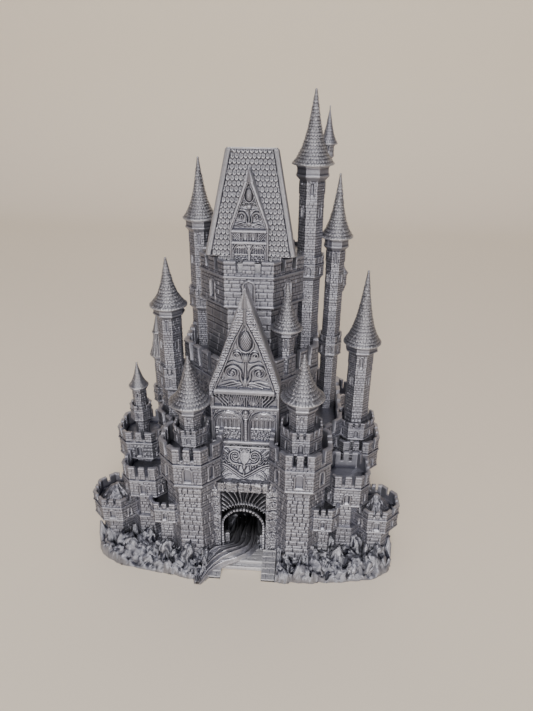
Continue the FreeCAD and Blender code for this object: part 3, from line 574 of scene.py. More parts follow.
def lathe(shell, cx, cy, profile, relief=None, gaps=(0,) * 8, gap_floor=0.18, wrap=False,
          res=None, facet_cols=None, slot=None):
    """Sweeps the profile round eight facets and pushes it out along its normals by relief.
    wrap joins the last row to the first. slot=(t0, t1) leaves the front facet open between
    t0 and t1 and closes both ends."""
    rows = profile.rows
    corners = ring_corners(np.array([row[0] for row in rows]).max(axis=0))
    widths = np.linalg.norm(np.roll(corners, -1, axis=0) - corners, axis=1)
    facet, along, solid = lathe_columns(widths, gaps, gap_floor, res or RES, facet_cols)
    if slot:
        right = (facet == 0) & (along > slot[1] + 1e-6)
        left = (facet == 0) & (along < slot[0] - 1e-6)
        rest = facet != 0
        facet, along, solid = (
            np.concatenate([[start], a[right], a[rest], a[left], [end]])
            for a, start, end in ((facet, 0, 0), (along, slot[1], slot[0]), (solid, 1.0, 1.0)))
    shape = len(rows), len(facet)
    points = np.zeros(shape + (3,))
    ungapped = np.zeros(shape + (3,))         # the surface as if there were no gaps
    half = np.zeros(shape)
    k = ((along + 1) / 2)[:, None]
    for j, (poly, z, rise, _, roundness) in enumerate(rows):
        start = ring_corners(poly)
        end = np.roll(start, -1, axis=0)
        xy = start[facet] * (1 - k) + end[facet] * k
        if roundness > 0:
            r = np.linalg.norm(xy, axis=1, keepdims=True) + 1e-9
            xy = xy * (1 - roundness) + xy / r * poly[0] * roundness
        points[j, :, :2] = xy
        points[j, :, 2] = z + rise * solid
        ungapped[j, :, :2] = xy
        ungapped[j, :, 2] = z + rise
        half[j] = np.linalg.norm(end - start, axis=1)[facet] / 2
    di = np.roll(ungapped, -1, axis=1) - np.roll(ungapped, 1, axis=1)
    if slot:
        di[:, 0] = ungapped[:, 1] - ungapped[:, 0]
        di[:, -1] = ungapped[:, -1] - ungapped[:, -2]
    dj = np.roll(ungapped, -1, axis=0) - np.roll(ungapped, 1, axis=0)
    if not wrap:
        dj[0], dj[-1] = ungapped[1] - ungapped[0], ungapped[-1] - ungapped[-2]
    normals = np.cross(di, dj)
    normals /= np.linalg.norm(normals, axis=2, keepdims=True) + 1e-12
    if relief:
        tags = np.array([row[3] for row in rows])
        skin = Skin(tag=tags[:, None] * np.ones((1, shape[1]), int),
                    facet=np.broadcast_to(facet, shape), s=along * half, half=half,
                    solid=np.broadcast_to(solid, shape),
                    x=points[..., 0], y=points[..., 1], z=points[..., 2])
        points = points + normals * relief(skin)[:, :, None]
    points[:, :, 0] += cx
    points[:, :, 1] += cy
    if not wrap:
        shell.tube(points)
        return
    ids = shell.grid(points, wrap_i=not slot, wrap_j=True)
    if slot:
        shell.caps(ids.T, points.swapaxes(0, 1), flip=True)


# ------------------------------------------------------------------ wall carving
class Masonry:
    """Coursed stone: random course heights and block lengths, bevelled joints.
    quoin is the plain margin left at each end of a facet."""

    def __init__(self, z0, z1, course, block, seed, jitter=0.28, amp=0.42, bevel=0.34,
                 rough=0.10, quoin=0.9):
        rng = np.random.RandomState(seed)
        heights, z = [], z0
        while z < z1 + course:
            h = course * rng.uniform(1 - jitter, 1 + jitter)
            heights.append(h)
            z += h
        self.beds = z0 + np.concatenate([[0.0], np.cumsum(heights)])
        self.n = len(heights)
        self.block = block * rng.uniform(0.62, 1.38, (self.n, 8))
        self.offset = rng.uniform(0.0, 50.0, (self.n, 8))
        self.amp, self.bevel, self.rough = amp, bevel, rough
        self.seed, self.quoin = seed, quoin

    def __call__(self, skin):
        s, z, f = skin.s, skin.z, skin.facet
        row = np.clip(np.searchsorted(self.beds, z, side="right") - 1, 0, self.n - 1)
        block, offset = self.block[row, f], self.offset[row, f]
        k = np.floor(s / block + offset)
        left, right = (k - offset) * block, (k + 1 - offset) * block
        limit = skin.half - self.quoin
        to_left = np.where(np.abs(left) < limit, s - left, 9.0)
        to_right = np.where(np.abs(right) < limit, right - s, 9.0)
        to_bed = np.minimum(np.abs(z - self.beds[row]), np.abs(self.beds[row + 1] - z))
        face = smooth(np.minimum(np.minimum(to_left, to_right), to_bed) / self.bevel)
        rnd = random_at(np.where(to_left > 8, -777, k), row, f, self.seed)
        h = self.amp * (face - 1.0) + (rnd - 0.5) * self.amp * 0.55 * face
        return h + self.rough * fbm(skin.x * 1.1 + f * 7.0, skin.y * 1.1, z * 1.1, 2, self.seed)


@dataclass
class Window:
    """Arched window: recess, raised surround and, as a rule, a sill."""
    tag: int
    facets: list
    z: float                # foot of the opening
    half: float             # half width
    height: float
    depth: float
    surround: float         # width of the surround
    proud: float = 0.38
    sill: bool = True

    def press(self, out, where, s, z):
        """Writes the window into the heights out, at the points where."""
        s, up = np.abs(s[where]), z[where] - self.z
        arch = np.hypot(s, np.maximum(up - (self.height - self.half), 0)) - self.half
        d = np.maximum(arch, -up)             # distance outside the opening
        inside = 1.0 - smooth((d + 0.12) / 0.24)
        ring = smooth((d + 0.02) / 0.15) * (1.0 - smooth((d - self.surround) / 0.15))
        ring = ring * (up > -0.02)
        h = -self.depth * inside + self.proud * ring
        mask = np.clip(inside + ring, 0, 1)
        if self.sill:
            sill = (s < self.half + self.surround + 0.35) & (up > -0.95) & (up <= 0.0)
            h = np.where(sill, 0.55, h)
            mask = np.where(sill, 1.0, mask)
        out[where] = out[where] * (1 - mask) + h


FLATS, CORNERS = [0, 2, 4, 6], [1, 3, 5, 7]     # main facets, chamfer facets


def carve(shaft, crown=None, windows=(), top=0.0, cap=1.0, seed=1):
    """Relief of a tower. shaft lays the shaft and the part above the ring, crown the ring
    and its parapet (shaft if None). Merlons get a proud cap over the last `cap` mm below
    top."""
    crown = crown or shaft
    layers = ((SHAFT, shaft), (CROWN, crown), (PARAPET, crown), (UPPER, shaft))

    def relief(skin):
        x, y, z, tag = skin.x, skin.y, skin.z, skin.tag
        out = np.zeros_like(z)
        for layer, masonry in layers:
            rows = np.where(tag[:, 0] == layer)[0]
            if len(rows):
                span = slice(rows.min(), rows.max() + 1)
                stones = masonry(skin.part(span))
                out[span] = np.where(tag[span] == layer, stones, out[span])
        for w in windows:
            near = np.abs(z - w.z - w.height * 0.45) < w.height * 0.6 + 1.6
            where = np.isin(skin.facet, w.facets) & (tag == w.tag) & near
            w.press(out, where & (skin.half > w.half + 0.2), skin.s, z)
        caps = (tag == PARAPET) & (z > top - cap) & (skin.solid > 0.9)
        out = np.where(caps, 0.28 + 0.04 * fbm(x * 2, y * 2, z * 2, 1, seed), out)
        out = np.where(tag == FLOOR, 0.12 * fbm(x * 0.9, y * 0.9, z, 2, seed + 5), out)
        return np.where(tag == BAND, 0.03 * noise(x * 2, y * 2, z, seed), out)

    return relief


# ------------------------------------------------------------------ layout of the towers
# x, y, shaft half width, shaft facet half length, crown underside z, crown band z,
# merlon top z, crown half width, crown facet half length
BASTIONS = {
    "small_bastion_left": (-44.2, -48.4, 4.6, 4.3, 29.7, 38.3, 42.9, 9.6, 5.8),
    "small_bastion_right": (46.1, -48.9, 4.6, 3.7, 30.3, 39.3, 45.2, 9.3, 5.1),
    "middle_bastion_left": (-57.7, -38.6, 9.2, 3.4, 41.7, 52.7, 61.7, 12.4, 7.5),
    "middle_bastion_right": (59.2, -38.6, 9.2, 3.2, 42.8, 55.0, 63.2, 12.2, 7.2),
    "outer_bastion_left": (-77.0, -40.0, 9.6, 3.9, 24.0, 33.5, 38.7, 13.1, 5.7),
    "outer_bastion_right": (77.2, -40.0, 9.4, 3.9, 26.3, 35.3, 40.8, 12.8, 5.2),
    "side_bastion_left": (-63.5, -19.0, 10.5, 5.6, 54.9, 65.8, 72.9, 13.8, 7.6),
    "side_bastion_right": (65.0, -8.0, 11.0, 5.6, 46.4, 58.2, 66.7, 14.2, 7.4),
    "rear_bastion_left": (-52.0, 47.0, 10.0, 4.8, 52.0, 63.0, 71.5, 13.2, 6.6),
    "rear_bastion_right": (52.0, 47.0, 10.0, 4.8, 46.0, 57.0, 65.5, 13.2, 6.6),
}
# x, y, foot z, shaft half width, ring underside z, ring band z, ring top z,
# ring half width (0: no ring), collar underside z, collar half width, eave z
TURRETS = {
    "gate_turret_left": (-28.5, -45.0, 72.0, 5.9, 80.9, 87.0, 90.8, 9.2, 97.8, 7.6, 104.2),
    "gate_turret_right": (32.0, -45.0, 72.0, 6.7, 80.0, 88.5, 94.0, 11.0, 103.2, 8.0, 110.0),
    "corner_turret": (-64.5, -19.0, 64.2, 3.8, 76.4, 82.5, 86.0, 5.8, 95.6, 4.6, 97.6),
    "left_tower": (-46.9, -5.0, 66.0, 6.6, 92.2, 101.0, 106.5, 8.2, 137.6, 8.4, 143.4),
    "left_rear_turret": (-60.4, 15.0, 62.0, 3.2, 69.0, 75.0, 79.0, 5.0, 99.6, 4.2, 101.6),
    "rear_left_tower": (-33.4, 32.0, 104.0, 7.0, 130.5, 138.0, 142.6, 8.3, 178.8, 8.4, 185.1),
    "tall_tower": (32.4, 20.0, 104.0, 7.0, 156.9, 164.0, 168.5, 8.5, 211.0, 8.8, 218.6),
    "slender_tower": (47.8, 22.0, 66.0, 5.4, 105.4, 113.0, 118.0, 6.8, 172.1, 7.0, 178.6),
    "right_tower": (64.5, -8.0, 56.4, 6.8, 66.9, 73.8, 77.9, 11.0, 120.8, 8.5, 126.2),
    "gable_turret": (21.4, -12.0, 104.0, 4.4, 0.0, 0.0, 0.0, 0.0, 130.8, 6.3, 134.6),
}
# tower below, eave radius, tip z
SPIRES = {
    "gate_spire_left": ("gate_turret_left", 11.4, 131.4),
    "gate_spire_right": ("gate_turret_right", 11.8, 134.8),
    "corner_spire": ("corner_turret", 5.8, 112.6),
    "left_spire": ("left_tower", 10.8, 171.5),
    "left_rear_spire": ("left_rear_turret", 5.8, 130.6),
    "rear_left_spire": ("rear_left_tower", 10.4, 220.0),
    "tall_spire": ("tall_tower", 11.7, 256.0),
    "slender_spire": ("slender_tower", 9.5, 213.9),
    "right_spire": ("right_tower", 10.7, 168.6),
    "gable_spire": ("gable_turret", 9.0, 161.6),
}
# x, y, foot z, drum underside z, drum top z, drum radius, eave radius, tip z
BARTIZANS = {
    "tall_bartizan": (40.2, 27.6, 218.8, 222.4, 228.2, 3.4, 5.1, 247.6),
    "slender_bartizan": (53.2, 24.5, 144.2, 149.8, 156.0, 2.3, 3.1, 161.6),
}
GATE_TOWER_Y = -45.0
GATE_TOWERS = {"left": (-28.5, 301), "right": (32.0, 317)}       # x, seed
SEEDS = {name: 11 + 7 * k
         for k, name in enumerate([*BASTIONS, *TURRETS, *SPIRES, *BARTIZANS])}


# ------------------------------------------------------------------ towers and bastions
def bastion(name, cx, cy, shaft_half, shaft_side, under, band_z, top, crown_half, crown_side):
    """Stout shaft with a corbelled, windowed crown behind merlons."""
    small, outer = name.startswith("small"), name.startswith("outer")
    seed = SEEDS[name]
    course, block = (2.0, 2.8) if small else (2.25, 3.4)
    corbel = 1.6 if outer else 2.2
    win_half, win_height = (1.05, 4.6) if small else (1.5, 5.4) if outer else (1.45, 6.3)
    foot = BASE_Z - 4.0
    shaft = Masonry(foot, under, course * 1.12, block * 1.1, seed, rough=0.14)
    crown = Masonry(under - 3, top + 1, course * 0.82, block * 0.85, seed + 1, amp=0.42 * 0.85)
    low = octagon(shaft_half, shaft_half, shaft_side, shaft_side)
    high = octagon(crown_half, crown_half, crown_side, crown_side)
    profile = Profile()
    if name.startswith("middle"):
        # thicker foot that ends in a ledge
        ledge_z, more = BASE_Z + 12.5, 1.3
        side = shaft_side + more * 0.6
        thick = octagon(shaft_half + more, shaft_half + more, side, side)
        profile.add(thick, foot, SHAFT).courses(thick, ledge_z, SHAFT, shaft)
        profile.band(thick, ledge_z + 0.5, 0.4, 0.8)
        profile.to(low, ledge_z + 1.6, n=2)
    else:
        profile.add(low, foot, SHAFT)
    profile.courses(low, under - corbel, SHAFT, shaft)
    # corbelled underside and a lip
    n = max(2, int(corbel / RES))
    profile.step(low + (high - low) * 0.12, under - corbel + 0.15)
    profile.to(low + (high - low) * 0.45, under - corbel * 0.42, n=n)
    profile.to(grow(high, -0.35), under - 0.25, n=n)
    profile.step(grow(high, 0.42), under, BAND)
    profile.step(grow(high, 0.42), under + 0.55, BAND)
    profile.step(high, under + 0.8)
    profile.courses(high, band_z - 0.45, CROWN, crown)
    profile.band(high, band_z)
    floor = band_z - 1.6
    inner = profile.parapet(high, band_z + 0.5, top, 1.7, floor)
    if outer:
        # heap of rubble inside the parapet
        profile.to(inner * 0.86, floor + 0.2, FLOOR, res=RES * 1.5)
        profile.to(inner * 0.10, floor + 9.5, FLOOR, res=RES)
    else:
        profile.to(inner * 0.15, floor + 0.1, FLOOR, res=1.2)
    sill = under + 1.9
    windows = [Window(CROWN, FLATS, sill, win_half, win_height, depth=1.15, surround=0.6),
               Window(CROWN, CORNERS, sill + 0.3, win_half * 0.62, win_height * 0.8,
                      depth=0.9, surround=0.4)]
    walls = carve(shaft, crown, windows, top, 0.95, seed)

    def relief(skin):
        out = walls(skin)
        if not outer:
            return out
        x, y, z = skin.x, skin.y, skin.z
        rubble = 0.9 * fbm(x * 0.55, y * 0.55, z * 0.35, 3, seed + 9)
        rubble = rubble + 0.35 * np.abs(noise(x * 1.3, y * 1.3, z, seed + 3))
        return np.where(skin.tag == FLOOR, rubble, out)

    shell = Shell()
    lathe(shell, cx, cy, profile, relief, (2, 1) * 4, gap_floor=0.22)
    shell.build(name)


def turret(name, cx, cy, foot, half, ring_under, ring_band, ring_top, ring, collar_z,
           collar, eave):
    """Slim tower with a merloned ring part way up and a collar under the eave."""
    seed = SEEDS[name]
    res = pick(min(RES, max(0.3, half * 0.07)))
    course, block, amp = 1.5, 2.4, 0.34
    wall = Masonry(foot - 3, eave, course, block, seed, amp=amp, bevel=0.26, quoin=0.5)
    ring_wall = Masonry(foot, eave, course * 0.95, block * 0.9, seed + 7, amp=amp * 0.8,
                        bevel=0.25, rough=0.06, quoin=0.4)
    shaft = octagon(half)
    profile = Profile().add(shaft, foot - 2.0, SHAFT)
    bottom = foot - 2.0                 # foot of the part above the ring
    gaps = [0] * 8
    windows = []
    if ring > 0:
        drum = octagon(ring)
        flare = min(2.4, (ring - half) * 1.1 + 0.6)
        profile.courses(shaft, ring_under - flare, SHAFT, wall, res)
        profile.to(grow(drum, -0.3), ring_under - 0.2, n=max(3, int(flare / res)))
        profile.step(grow(drum, 0.3), ring_under, BAND)
        profile.step(grow(drum, 0.3), ring_under + 0.45, BAND)
        profile.step(drum, ring_under + 0.65)
        profile.courses(drum, ring_band - 0.35, CROWN, ring_wall, res)
        profile.band(drum, ring_band, 0.4, 0.7)
        room = ring - half
        thick = 1.0 if room > 1.8 else max(0.5, room * 0.62)
        floor = ring_band - 0.8 if room > 1.8 else ring_band + 0.4
        profile.parapet(drum, ring_band + 0.4, ring_top, thick, floor, res=res)
        bottom = floor + 0.05
        profile.to(octagon(half + 0.02), bottom, res=0.8)
        gaps = [2 if ring > 7.5 else 1] * 8
        height = (ring_band - ring_under) * 0.66
        windows.append(Window(CROWN, FLATS, ring_under + 1.3, min(1.15, ring * 0.13), height,
                              depth=0.8, surround=0.38, proud=0.3, sill=False))
        if ring > 6:
            windows.append(Window(CROWN, CORNERS, ring_under + 1.3, min(0.95, ring * 0.11),
                                  height * 0.95, depth=0.8, surround=0.3, proud=0.25,
                                  sill=False))
    profile.courses(shaft, collar_z - 0.6, UPPER, wall, res)
    # collar under the eave: cavetto, lip, drum, lip
    wide = collar * 1.04
    profile.to(octagon(half + 0.25), collar_z - 0.3, roundness=0.2, n=2)
    # half width, share of the height, rows
    for width, share, n in ((half + (wide - half) * 0.55, 0.10, 2), (wide * 0.99, 0.22, 3),
                            (wide * 1.01, 0.27, 1), (wide * 1.01, 0.34, 1),
                            (wide * 0.95, 0.38, 1), (wide * 0.95, 0.82, 5),
                            (wide, 0.87, 1), (wide, 1.0, 2)):
        profile.to(octagon(width), collar_z + (eave - collar_z) * share, roundness=0.25, n=n)
    if half > 3.5:
        height = min(6.5, (collar_z - bottom) * 0.2)
        windows.append(Window(UPPER, FLATS, collar_z - height - 1.6, half * 0.115, height,
                              depth=0.8, surround=0.42, proud=0.34, sill=False))
        if collar_z - bottom > 30:
            windows.append(Window(UPPER, CORNERS, collar_z - height * 3.1, half * 0.10,
                                  height * 0.8, depth=0.7, surround=0.4, proud=0.3,
                                  sill=False))
    shell = Shell()
    lathe(shell, cx, cy, profile, carve(wall, ring_wall, windows, ring_top, 0.6, seed), gaps,
          gap_floor=0.2, res=res)
    shell.build(name)


def spire(name, tower, radius, tip, bell=0.50, tile=1.6, amp=0.50):
    """Cone roof: flat soffit, thin eave, shingled flared slope and a ball finial.
    bell is how much of the radius flares out at the eave."""
    cx, cy, *_, eave = TURRETS[tower]
    seed = SEEDS[name]
    rise = tip - eave
    res = pick(0.34)
    profile = Profile().add(octagon(radius * 0.25), eave, roundness=1.0)
    profile.to(octagon(radius * 0.97), eave, n=4)
    profile.step(octagon(radius), eave + 0.15)
    profile.step(octagon(radius), eave + 0.55)
    n = int(rise / res * 1.08)
    finial_t = 0.965
    for k in range(1, n + 1):
        t = k / n * finial_t
        r = radius * 0.985
        if t > 0.012:
            r = radius * ((1 - bell) * (1 - t) + bell * math.exp(-t / 0.20) + 0.04 * t)
        r = max(min(r, radius), 0.42)
        profile.step(octagon(r), eave + 0.55 + (rise - 0.55) * t, UPPER)
    finial_z = eave + 0.55 + (rise - 0.55) * finial_t
    # share of the finial's height, radius
    for share, r in ((0.12, 0.74), (0.30, 0.80), (0.48, 0.70), (0.62, 0.56), (0.84, 0.42),
                     (0.97, 0.22)):
        profile.step(octagon(r), finial_z + (tip - finial_z) * share)
    rng = np.random.RandomState(seed)
    offsets = rng.uniform(0, 1, 400)
    heights = rng.uniform(0.86, 1.14, 400)
    row_z = eave + 0.5 + np.concatenate([[0], np.cumsum(tile * heights)])

    def relief(skin):
        x, y, z = skin.x, skin.y, skin.z
        row = np.clip(np.searchsorted(row_z, z, side="right") - 1, 0, 398)
        up = (z - row_z[row]) / (row_z[row + 1] - row_z[row])
        t = np.clip((row_z[row] - eave) / rise, 0, 1)
        row_r = radius * np.maximum((1 - bell) * (1 - t) + bell * np.exp(-t / 0.20), 0.04)
        count = np.maximum(5, np.round(2 * math.pi * row_r / (tile * 1.02)))
        turn = np.arctan2(y, x) / (2 * math.pi) * count + offsets[row]
        k = np.floor(turn)
        across = (turn - k - 0.5) * 2
        rnd = random_at(np.mod(k, count), row, 3, seed)
        edge = 0.30 * np.abs(across) ** 2.2 + 0.16 * (rnd - 0.5)
        lift = np.where(up > edge, 1.0 - 0.85 * (up - edge), 0.05)
        side = smooth((1 - np.abs(across)) / 0.30)
        out = amp * (lift * (0.35 + 0.65 * side) * (0.72 + 0.56 * rnd) - 0.45)
        out = out + 0.07 * noise(x * 2.1, y * 2.1, z * 2.1, seed)
        return np.where(skin.tag == UPPER, out * smooth((np.hypot(x, y) - 0.5) / 1.2), 0.0)

    shell = Shell()
    lathe(shell, cx, cy, profile, relief,
          facet_cols=max(18, int(math.ceil(2 * math.pi * radius / res / 8))))
    shell.build(name, "roof")


def gate_tower(side, cx, seed):
    under, band_z, top = 59.6, 73.6, 83.8
    foot = BASE_Z - 8.0
    low, high = octagon(14.5, 14.5, 6.0, 6.0), octagon(16.8, 16.8, 7.6, 7.6)
    # the shaft is laid in coarse mixed ashlar
    shaft = Masonry(foot, under, 2.9, 4.4, seed, jitter=0.42, amp=0.62, bevel=0.5,
                    rough=0.26, quoin=1.1)
    crown = Masonry(under - 3, top + 2, 2.0, 3.1, seed + 1)
    profile = Profile().add(octagon(14.9, 14.9, 6.2, 6.2), foot, SHAFT)
    profile.courses(low, under - 2.6, SHAFT, shaft)
    profile.step(grow(low, 0.5), under - 2.3, BAND)
    profile.step(grow(low, 0.5), under - 1.7, BAND)
    profile.step(grow(low, 0.9), under - 1.5)
    profile.to(grow(high, -0.5), under - 0.2, n=4)
    profile.step(grow(high, 0.5), under, BAND)
    profile.step(grow(high, 0.5), under + 0.7, BAND)
    profile.step(high, under + 1.0)
    profile.courses(high, band_z - 0.5, CROWN, crown)
    profile.band(high, band_z, 0.6, 1.0)
    profile.parapet(high, band_z + 0.5, top, 2.3, band_z - 1.6)
    profile.to(octagon(5.0), band_z - 1.5, FLOOR, res=1.2)
    windows = [Window(CROWN, FLATS, under + 2.9, 2.0, 8.6, depth=1.3, surround=0.75),
               Window(CROWN, CORNERS, under + 3.1, 1.3, 8.0, depth=1.2, surround=0.6)]
    shell = Shell()
    lathe(shell, cx, GATE_TOWER_Y, profile, carve(shaft, crown, windows, top, 1.15, seed),
          (2, 1) * 4, gap_floor=0.2)
    shell.build("gate_tower_" + side)


# ------------------------------------------------------------------ wards and keep
def shaft_hole(cy):
    """The open shaft down the middle, seen from a piece centred on y = cy."""
    return octagon(14.0, 22.0, 13.4, 21.4, oy=KEEP_Y - cy)


def ring_foot(hole, wall, z):
    """Starts a ring wall: its flat underside from the hole out to the wall."""
    profile = Profile().add(hole, z)
    profile.to(grow(wall, -1.0), z, res=2.5)
    return profile.step(wall, z + 0.02)


def lower_ward():
    """A ring with its front left open low down, and a full ring above."""
    cy, foot, top, band_z, floor = 12.0, BASE_Z - 7.0, 78.0, 68.0, 66.0
    wall, hole = octagon(56.0, 42.0, 40.0, 26.0), shaft_hole(cy)
    tunnel_t = 14.0 / 40.0
    res = pick(0.52)
    masonry = Masonry(BASE_Z - 8, top + 2, 3.0, 5.2, 401, jitter=0.35, amp=0.5, bevel=0.45,
                      rough=0.2, quoin=1.2)
    beds = masonry.beds
    split = beds[np.argmin(np.abs(beds - 42.0))]       # where the two rings meet
    windows = [Window(SHAFT, [1, 2, 3, 4, 5, 6, 7], 46.0, 2.4, 11.5, depth=1.5, surround=0.9),
               Window(SHAFT, [2, 3, 4, 5, 6], 20.0, 2.0, 10.0, depth=1.5, surround=0.9)]
    walls = carve(masonry, None, windows, top, 1.2, 401)

    def relief(skin):
        # the windows repeat along the long sides
        pitch = 17.0
        out = walls(skin)
        s = skin.s - np.clip(np.round(skin.s / pitch), -1, 1) * pitch
        for w in windows:
            near = np.abs(skin.z - w.z - w.height / 2) < w.height * 0.7 + 2
            where = np.isin(skin.facet, w.facets) & (skin.tag == SHAFT) & near
            w.press(out, where & (skin.half > 20), s, skin.z)
        return out

    shell = Shell()
    profile = Profile().add(hole, foot)
    profile.to(wall, foot, res=2.5)
    profile.courses(wall, split + 0.2, SHAFT, masonry, res)
    profile.to(hole, split + 0.2, res=2.5)
    profile.to(hole, foot + 2.0, res=3.0)
    lathe(shell, 0, cy, profile, relief, wrap=True, res=res, slot=(-tunnel_t, tunnel_t))
    profile = ring_foot(hole, wall, split)
    profile.courses(wall, band_z - 0.6, SHAFT, masonry, res)
    profile.band(wall, band_z, 0.7, 1.1)
    profile.parapet(wall, band_z + 0.6, top, 2.2, floor, res=res)
    profile.to(hole, floor + 0.02, FLOOR, res=1.6)
    profile.to(hole, split + 2.0, res=2.0)
    lathe(shell, 0, cy, profile, relief, (5, 2, 4, 2) * 2, wrap=True, res=res, gap_floor=0.14)
    shell.build("lower_ward")


def medallions(skin, z0):
    """Row of round rosettes in frames over a lattice strip, centred on z0. Returns the
    heights and where they apply."""
    pitch = 7.4
    s, half = skin.s, skin.half
    n = np.maximum(1, np.floor((2 * half - 2) / pitch))
    shift = (n % 2 == 0) * 0.5
    k = np.clip(np.round(s / pitch - shift), -(n // 2), (n - 1) // 2) + shift
    x, z = s - k * pitch, skin.z - z0
    r = np.hypot(x, z)
    h = 0.55 * (1 - smooth(np.abs(r - 2.9) / 0.42)) + 0.35 * (1 - smooth(np.abs(r - 2.05) / 0.3))
    petal = 0.6 + 0.4 * np.cos(6 * np.arctan2(z, x))
    h = h + 0.55 * smooth((1.75 * petal - r + 0.25) / 0.5) * (r < 1.9)
    h = h + 0.35 * smooth((0.62 - r) / 0.25)
    # lattice strip beneath, between two bars
    low = skin.z - (z0 - 6.6)
    u, v = (x + low) / 2.4, (x - low) / 2.4
    line = np.minimum(np.abs(u - np.round(u)), np.abs(v - np.round(v)))
    lattice = 0.45 * (1 - smooth(line * 2.4 / 0.38)) * (np.abs(low) < 2.9)
    bars = 0.5 * (1 - smooth((np.abs(np.abs(low) - 3.05) - 0.16) / 0.2))
    inside = (np.abs(s) < half - 1.2) & (z < 3.7) & (low > -3.5)
    h = np.maximum(np.maximum(h * (np.abs(z) < 3.6), lattice), bars) - 0.25
    return h, inside


def mid_ward():
    cy, foot, floor, top = 16.0, 66.0, 104.0, 119.5
    wall, hole = octagon(40.0, 40.0, 16.6, 16.6), shaft_hole(cy)
    res = pick(0.45)
    masonry = Masonry(foot - 3, top + 2, 3.3, 6.0, 433, jitter=0.4, amp=0.5, bevel=0.45,
                      rough=0.18, quoin=1.2)
    windows = [Window(SHAFT, list(range(8)), 76.0, 2.4, 10.5, depth=1.4, surround=0.9)]
    walls = carve(masonry, None, windows, top, 1.3, 433)

    def relief(skin):
        rosettes, inside = medallions(skin, 100.6)
        return np.where(inside & (skin.tag == SHAFT), rosettes, walls(skin))

    profile = ring_foot(hole, wall, foot)
    profile.courses(wall, 104.8, SHAFT, masonry, res)
    profile.band(wall, 105.6, 0.8, 1.2)
    profile.parapet(wall, 106.4, top, 3.0, floor, res=res)
    profile.to(hole, floor + 0.02, FLOOR, res=1.6)
    profile.to(hole, foot + 2.0, res=2.2)
    shell = Shell()
    lathe(shell, 0, cy, profile, relief, (3,) * 8, wrap=True, res=res, gap_floor=0.14)
    shell.build("mid_ward")


KEEP_RES = pick(0.40)


def keep_wall():
    foot, seam = 104.0, 145.38
    wall, hole = octagon(27.0, 27.0, 12.2, 12.2), shaft_hole(KEEP_Y)
    masonry = Masonry(103.0, 147.0, 4.3, 8.2, 457, jitter=0.30, amp=0.62, bevel=0.5, quoin=1.0)
    windows = [Window(SHAFT, [2, 3, 4, 5, 6], 118.0, 2.5, 12.0, depth=1.5, surround=0.9)]
    profile = ring_foot(hole, wall, foot)
    profile.courses(wall, 144.2, SHAFT, masonry, KEEP_RES)
    profile.to(grow(wall, 0.8), 144.8, BAND, n=2)
    profile.step(grow(wall, 0.8), 145.2)
    profile.step(grow(wall, 0.2), seam)
    profile.to(hole, seam, res=2.5)
    profile.to(hole, foot + 2.0, res=2.2)
    shell = Shell()
    lathe(shell, 0, KEEP_Y, profile, carve(masonry, windows=windows, seed=457), wrap=True,
          res=KEEP_RES)
    shell.build("keep_wall")


def keep_crown():
    foot, top = 145.42, 171.9
    wall, hole = octagon(29.3, 29.3, 13.5, 13.5), shaft_hole(KEEP_Y)
    masonry = Masonry(144.0, 176.0, 2.5, 4.6, 461, jitter=0.35, amp=0.5, bevel=0.42,
                      rough=0.12, quoin=1.0)
    windows = [Window(SHAFT, [0, 4], 148.2, 2.6, 12.2, depth=1.7, surround=1.0, proud=0.5),
               Window(SHAFT, [1, 2, 3, 5, 6, 7], 148.6, 1.9, 10.4, depth=1.5, surround=0.8)]
    profile = Profile().add(hole, foot)
    profile.to(octagon(28.2, 28.2, 12.9, 12.9), foot, res=2.5)
    profile.to(grow(wall, 0.9), 145.7, BAND, n=2)
    profile.to(grow(wall, 0.9), 146.5, BAND, n=2)
    profile.step(wall, 146.9)
    profile.courses(wall, 162.4, SHAFT, masonry, KEEP_RES)
    profile.band(wall, 163.2, 0.85, 1.3)
    profile.parapet(wall, 164.0, top, 2.3, 163.2, facet_share=0.65, res=KEEP_RES)
    profile.to(hole, 163.22, FLOOR, res=2.0)
    profile.to(hole, 147.4, res=2.2)
    shell = Shell()
    lathe(shell, 0, KEEP_Y, profile, carve(masonry, None, windows, top, 1.3, 461), (2,) * 8,
          wrap=True, res=KEEP_RES, gap_floor=0.16)
    shell.build("keep_crown")


ROOF_X = 0.5
ROOF_Z0, ROOF_Z1 = 173.4, 228.2             # eave and mouth
ROOF_HALF0, ROOF_HALF1 = 24.0, 13.3         # half widths there
TILE_JITTER = np.random.RandomState(77).uniform(-0.07, 0.07, 64)


def roof_tiles(skin):
    """Round-ended tiles in staggered rows, each a small pillow over the row below."""
    tile_height, tile_width = 2.72, 2.30
    level = (skin.z - ROOF_Z0) / tile_height
    best = np.full_like(skin.z, -1.15)
    for below in (0, -1):
        row = np.floor(level) + below
        shift = 0.5 * np.mod(row, 2) + TILE_JITTER[np.mod(row, 64).astype(int)]
        place = skin.s / tile_width + shift
        k = np.floor(place)
        across = (place - k - 0.5) * 2
        rnd = random_at(k, row, skin.facet, 5)
        butt = 0.05 + 0.40 * np.abs(across) ** 2.2 + 0.10 * (rnd - 0.5)
        up = level - row - butt
        side = smooth((1 - np.abs(across)) / 0.30)
        pillow = (0.55 + 0.45 * side) * (1 - 0.30 * across ** 2)
        body = 0.98 * pillow * smooth(up / 0.14) * (1 - 0.62 * np.clip(up, 0, 1.5))
        body = body + 0.16 * (rnd - 0.5)
        body = body + 0.32 * np.exp(-((up - 0.24) / 0.20) ** 2) * side
        tile = np.where(up > 0, body - 0.55, -1.15)
        best = np.maximum(best, np.where(side > 0.02, tile, -1.15))
    return best + 0.06 * noise(skin.x * 1.7, skin.y * 1.7, skin.z * 1.7, 3)


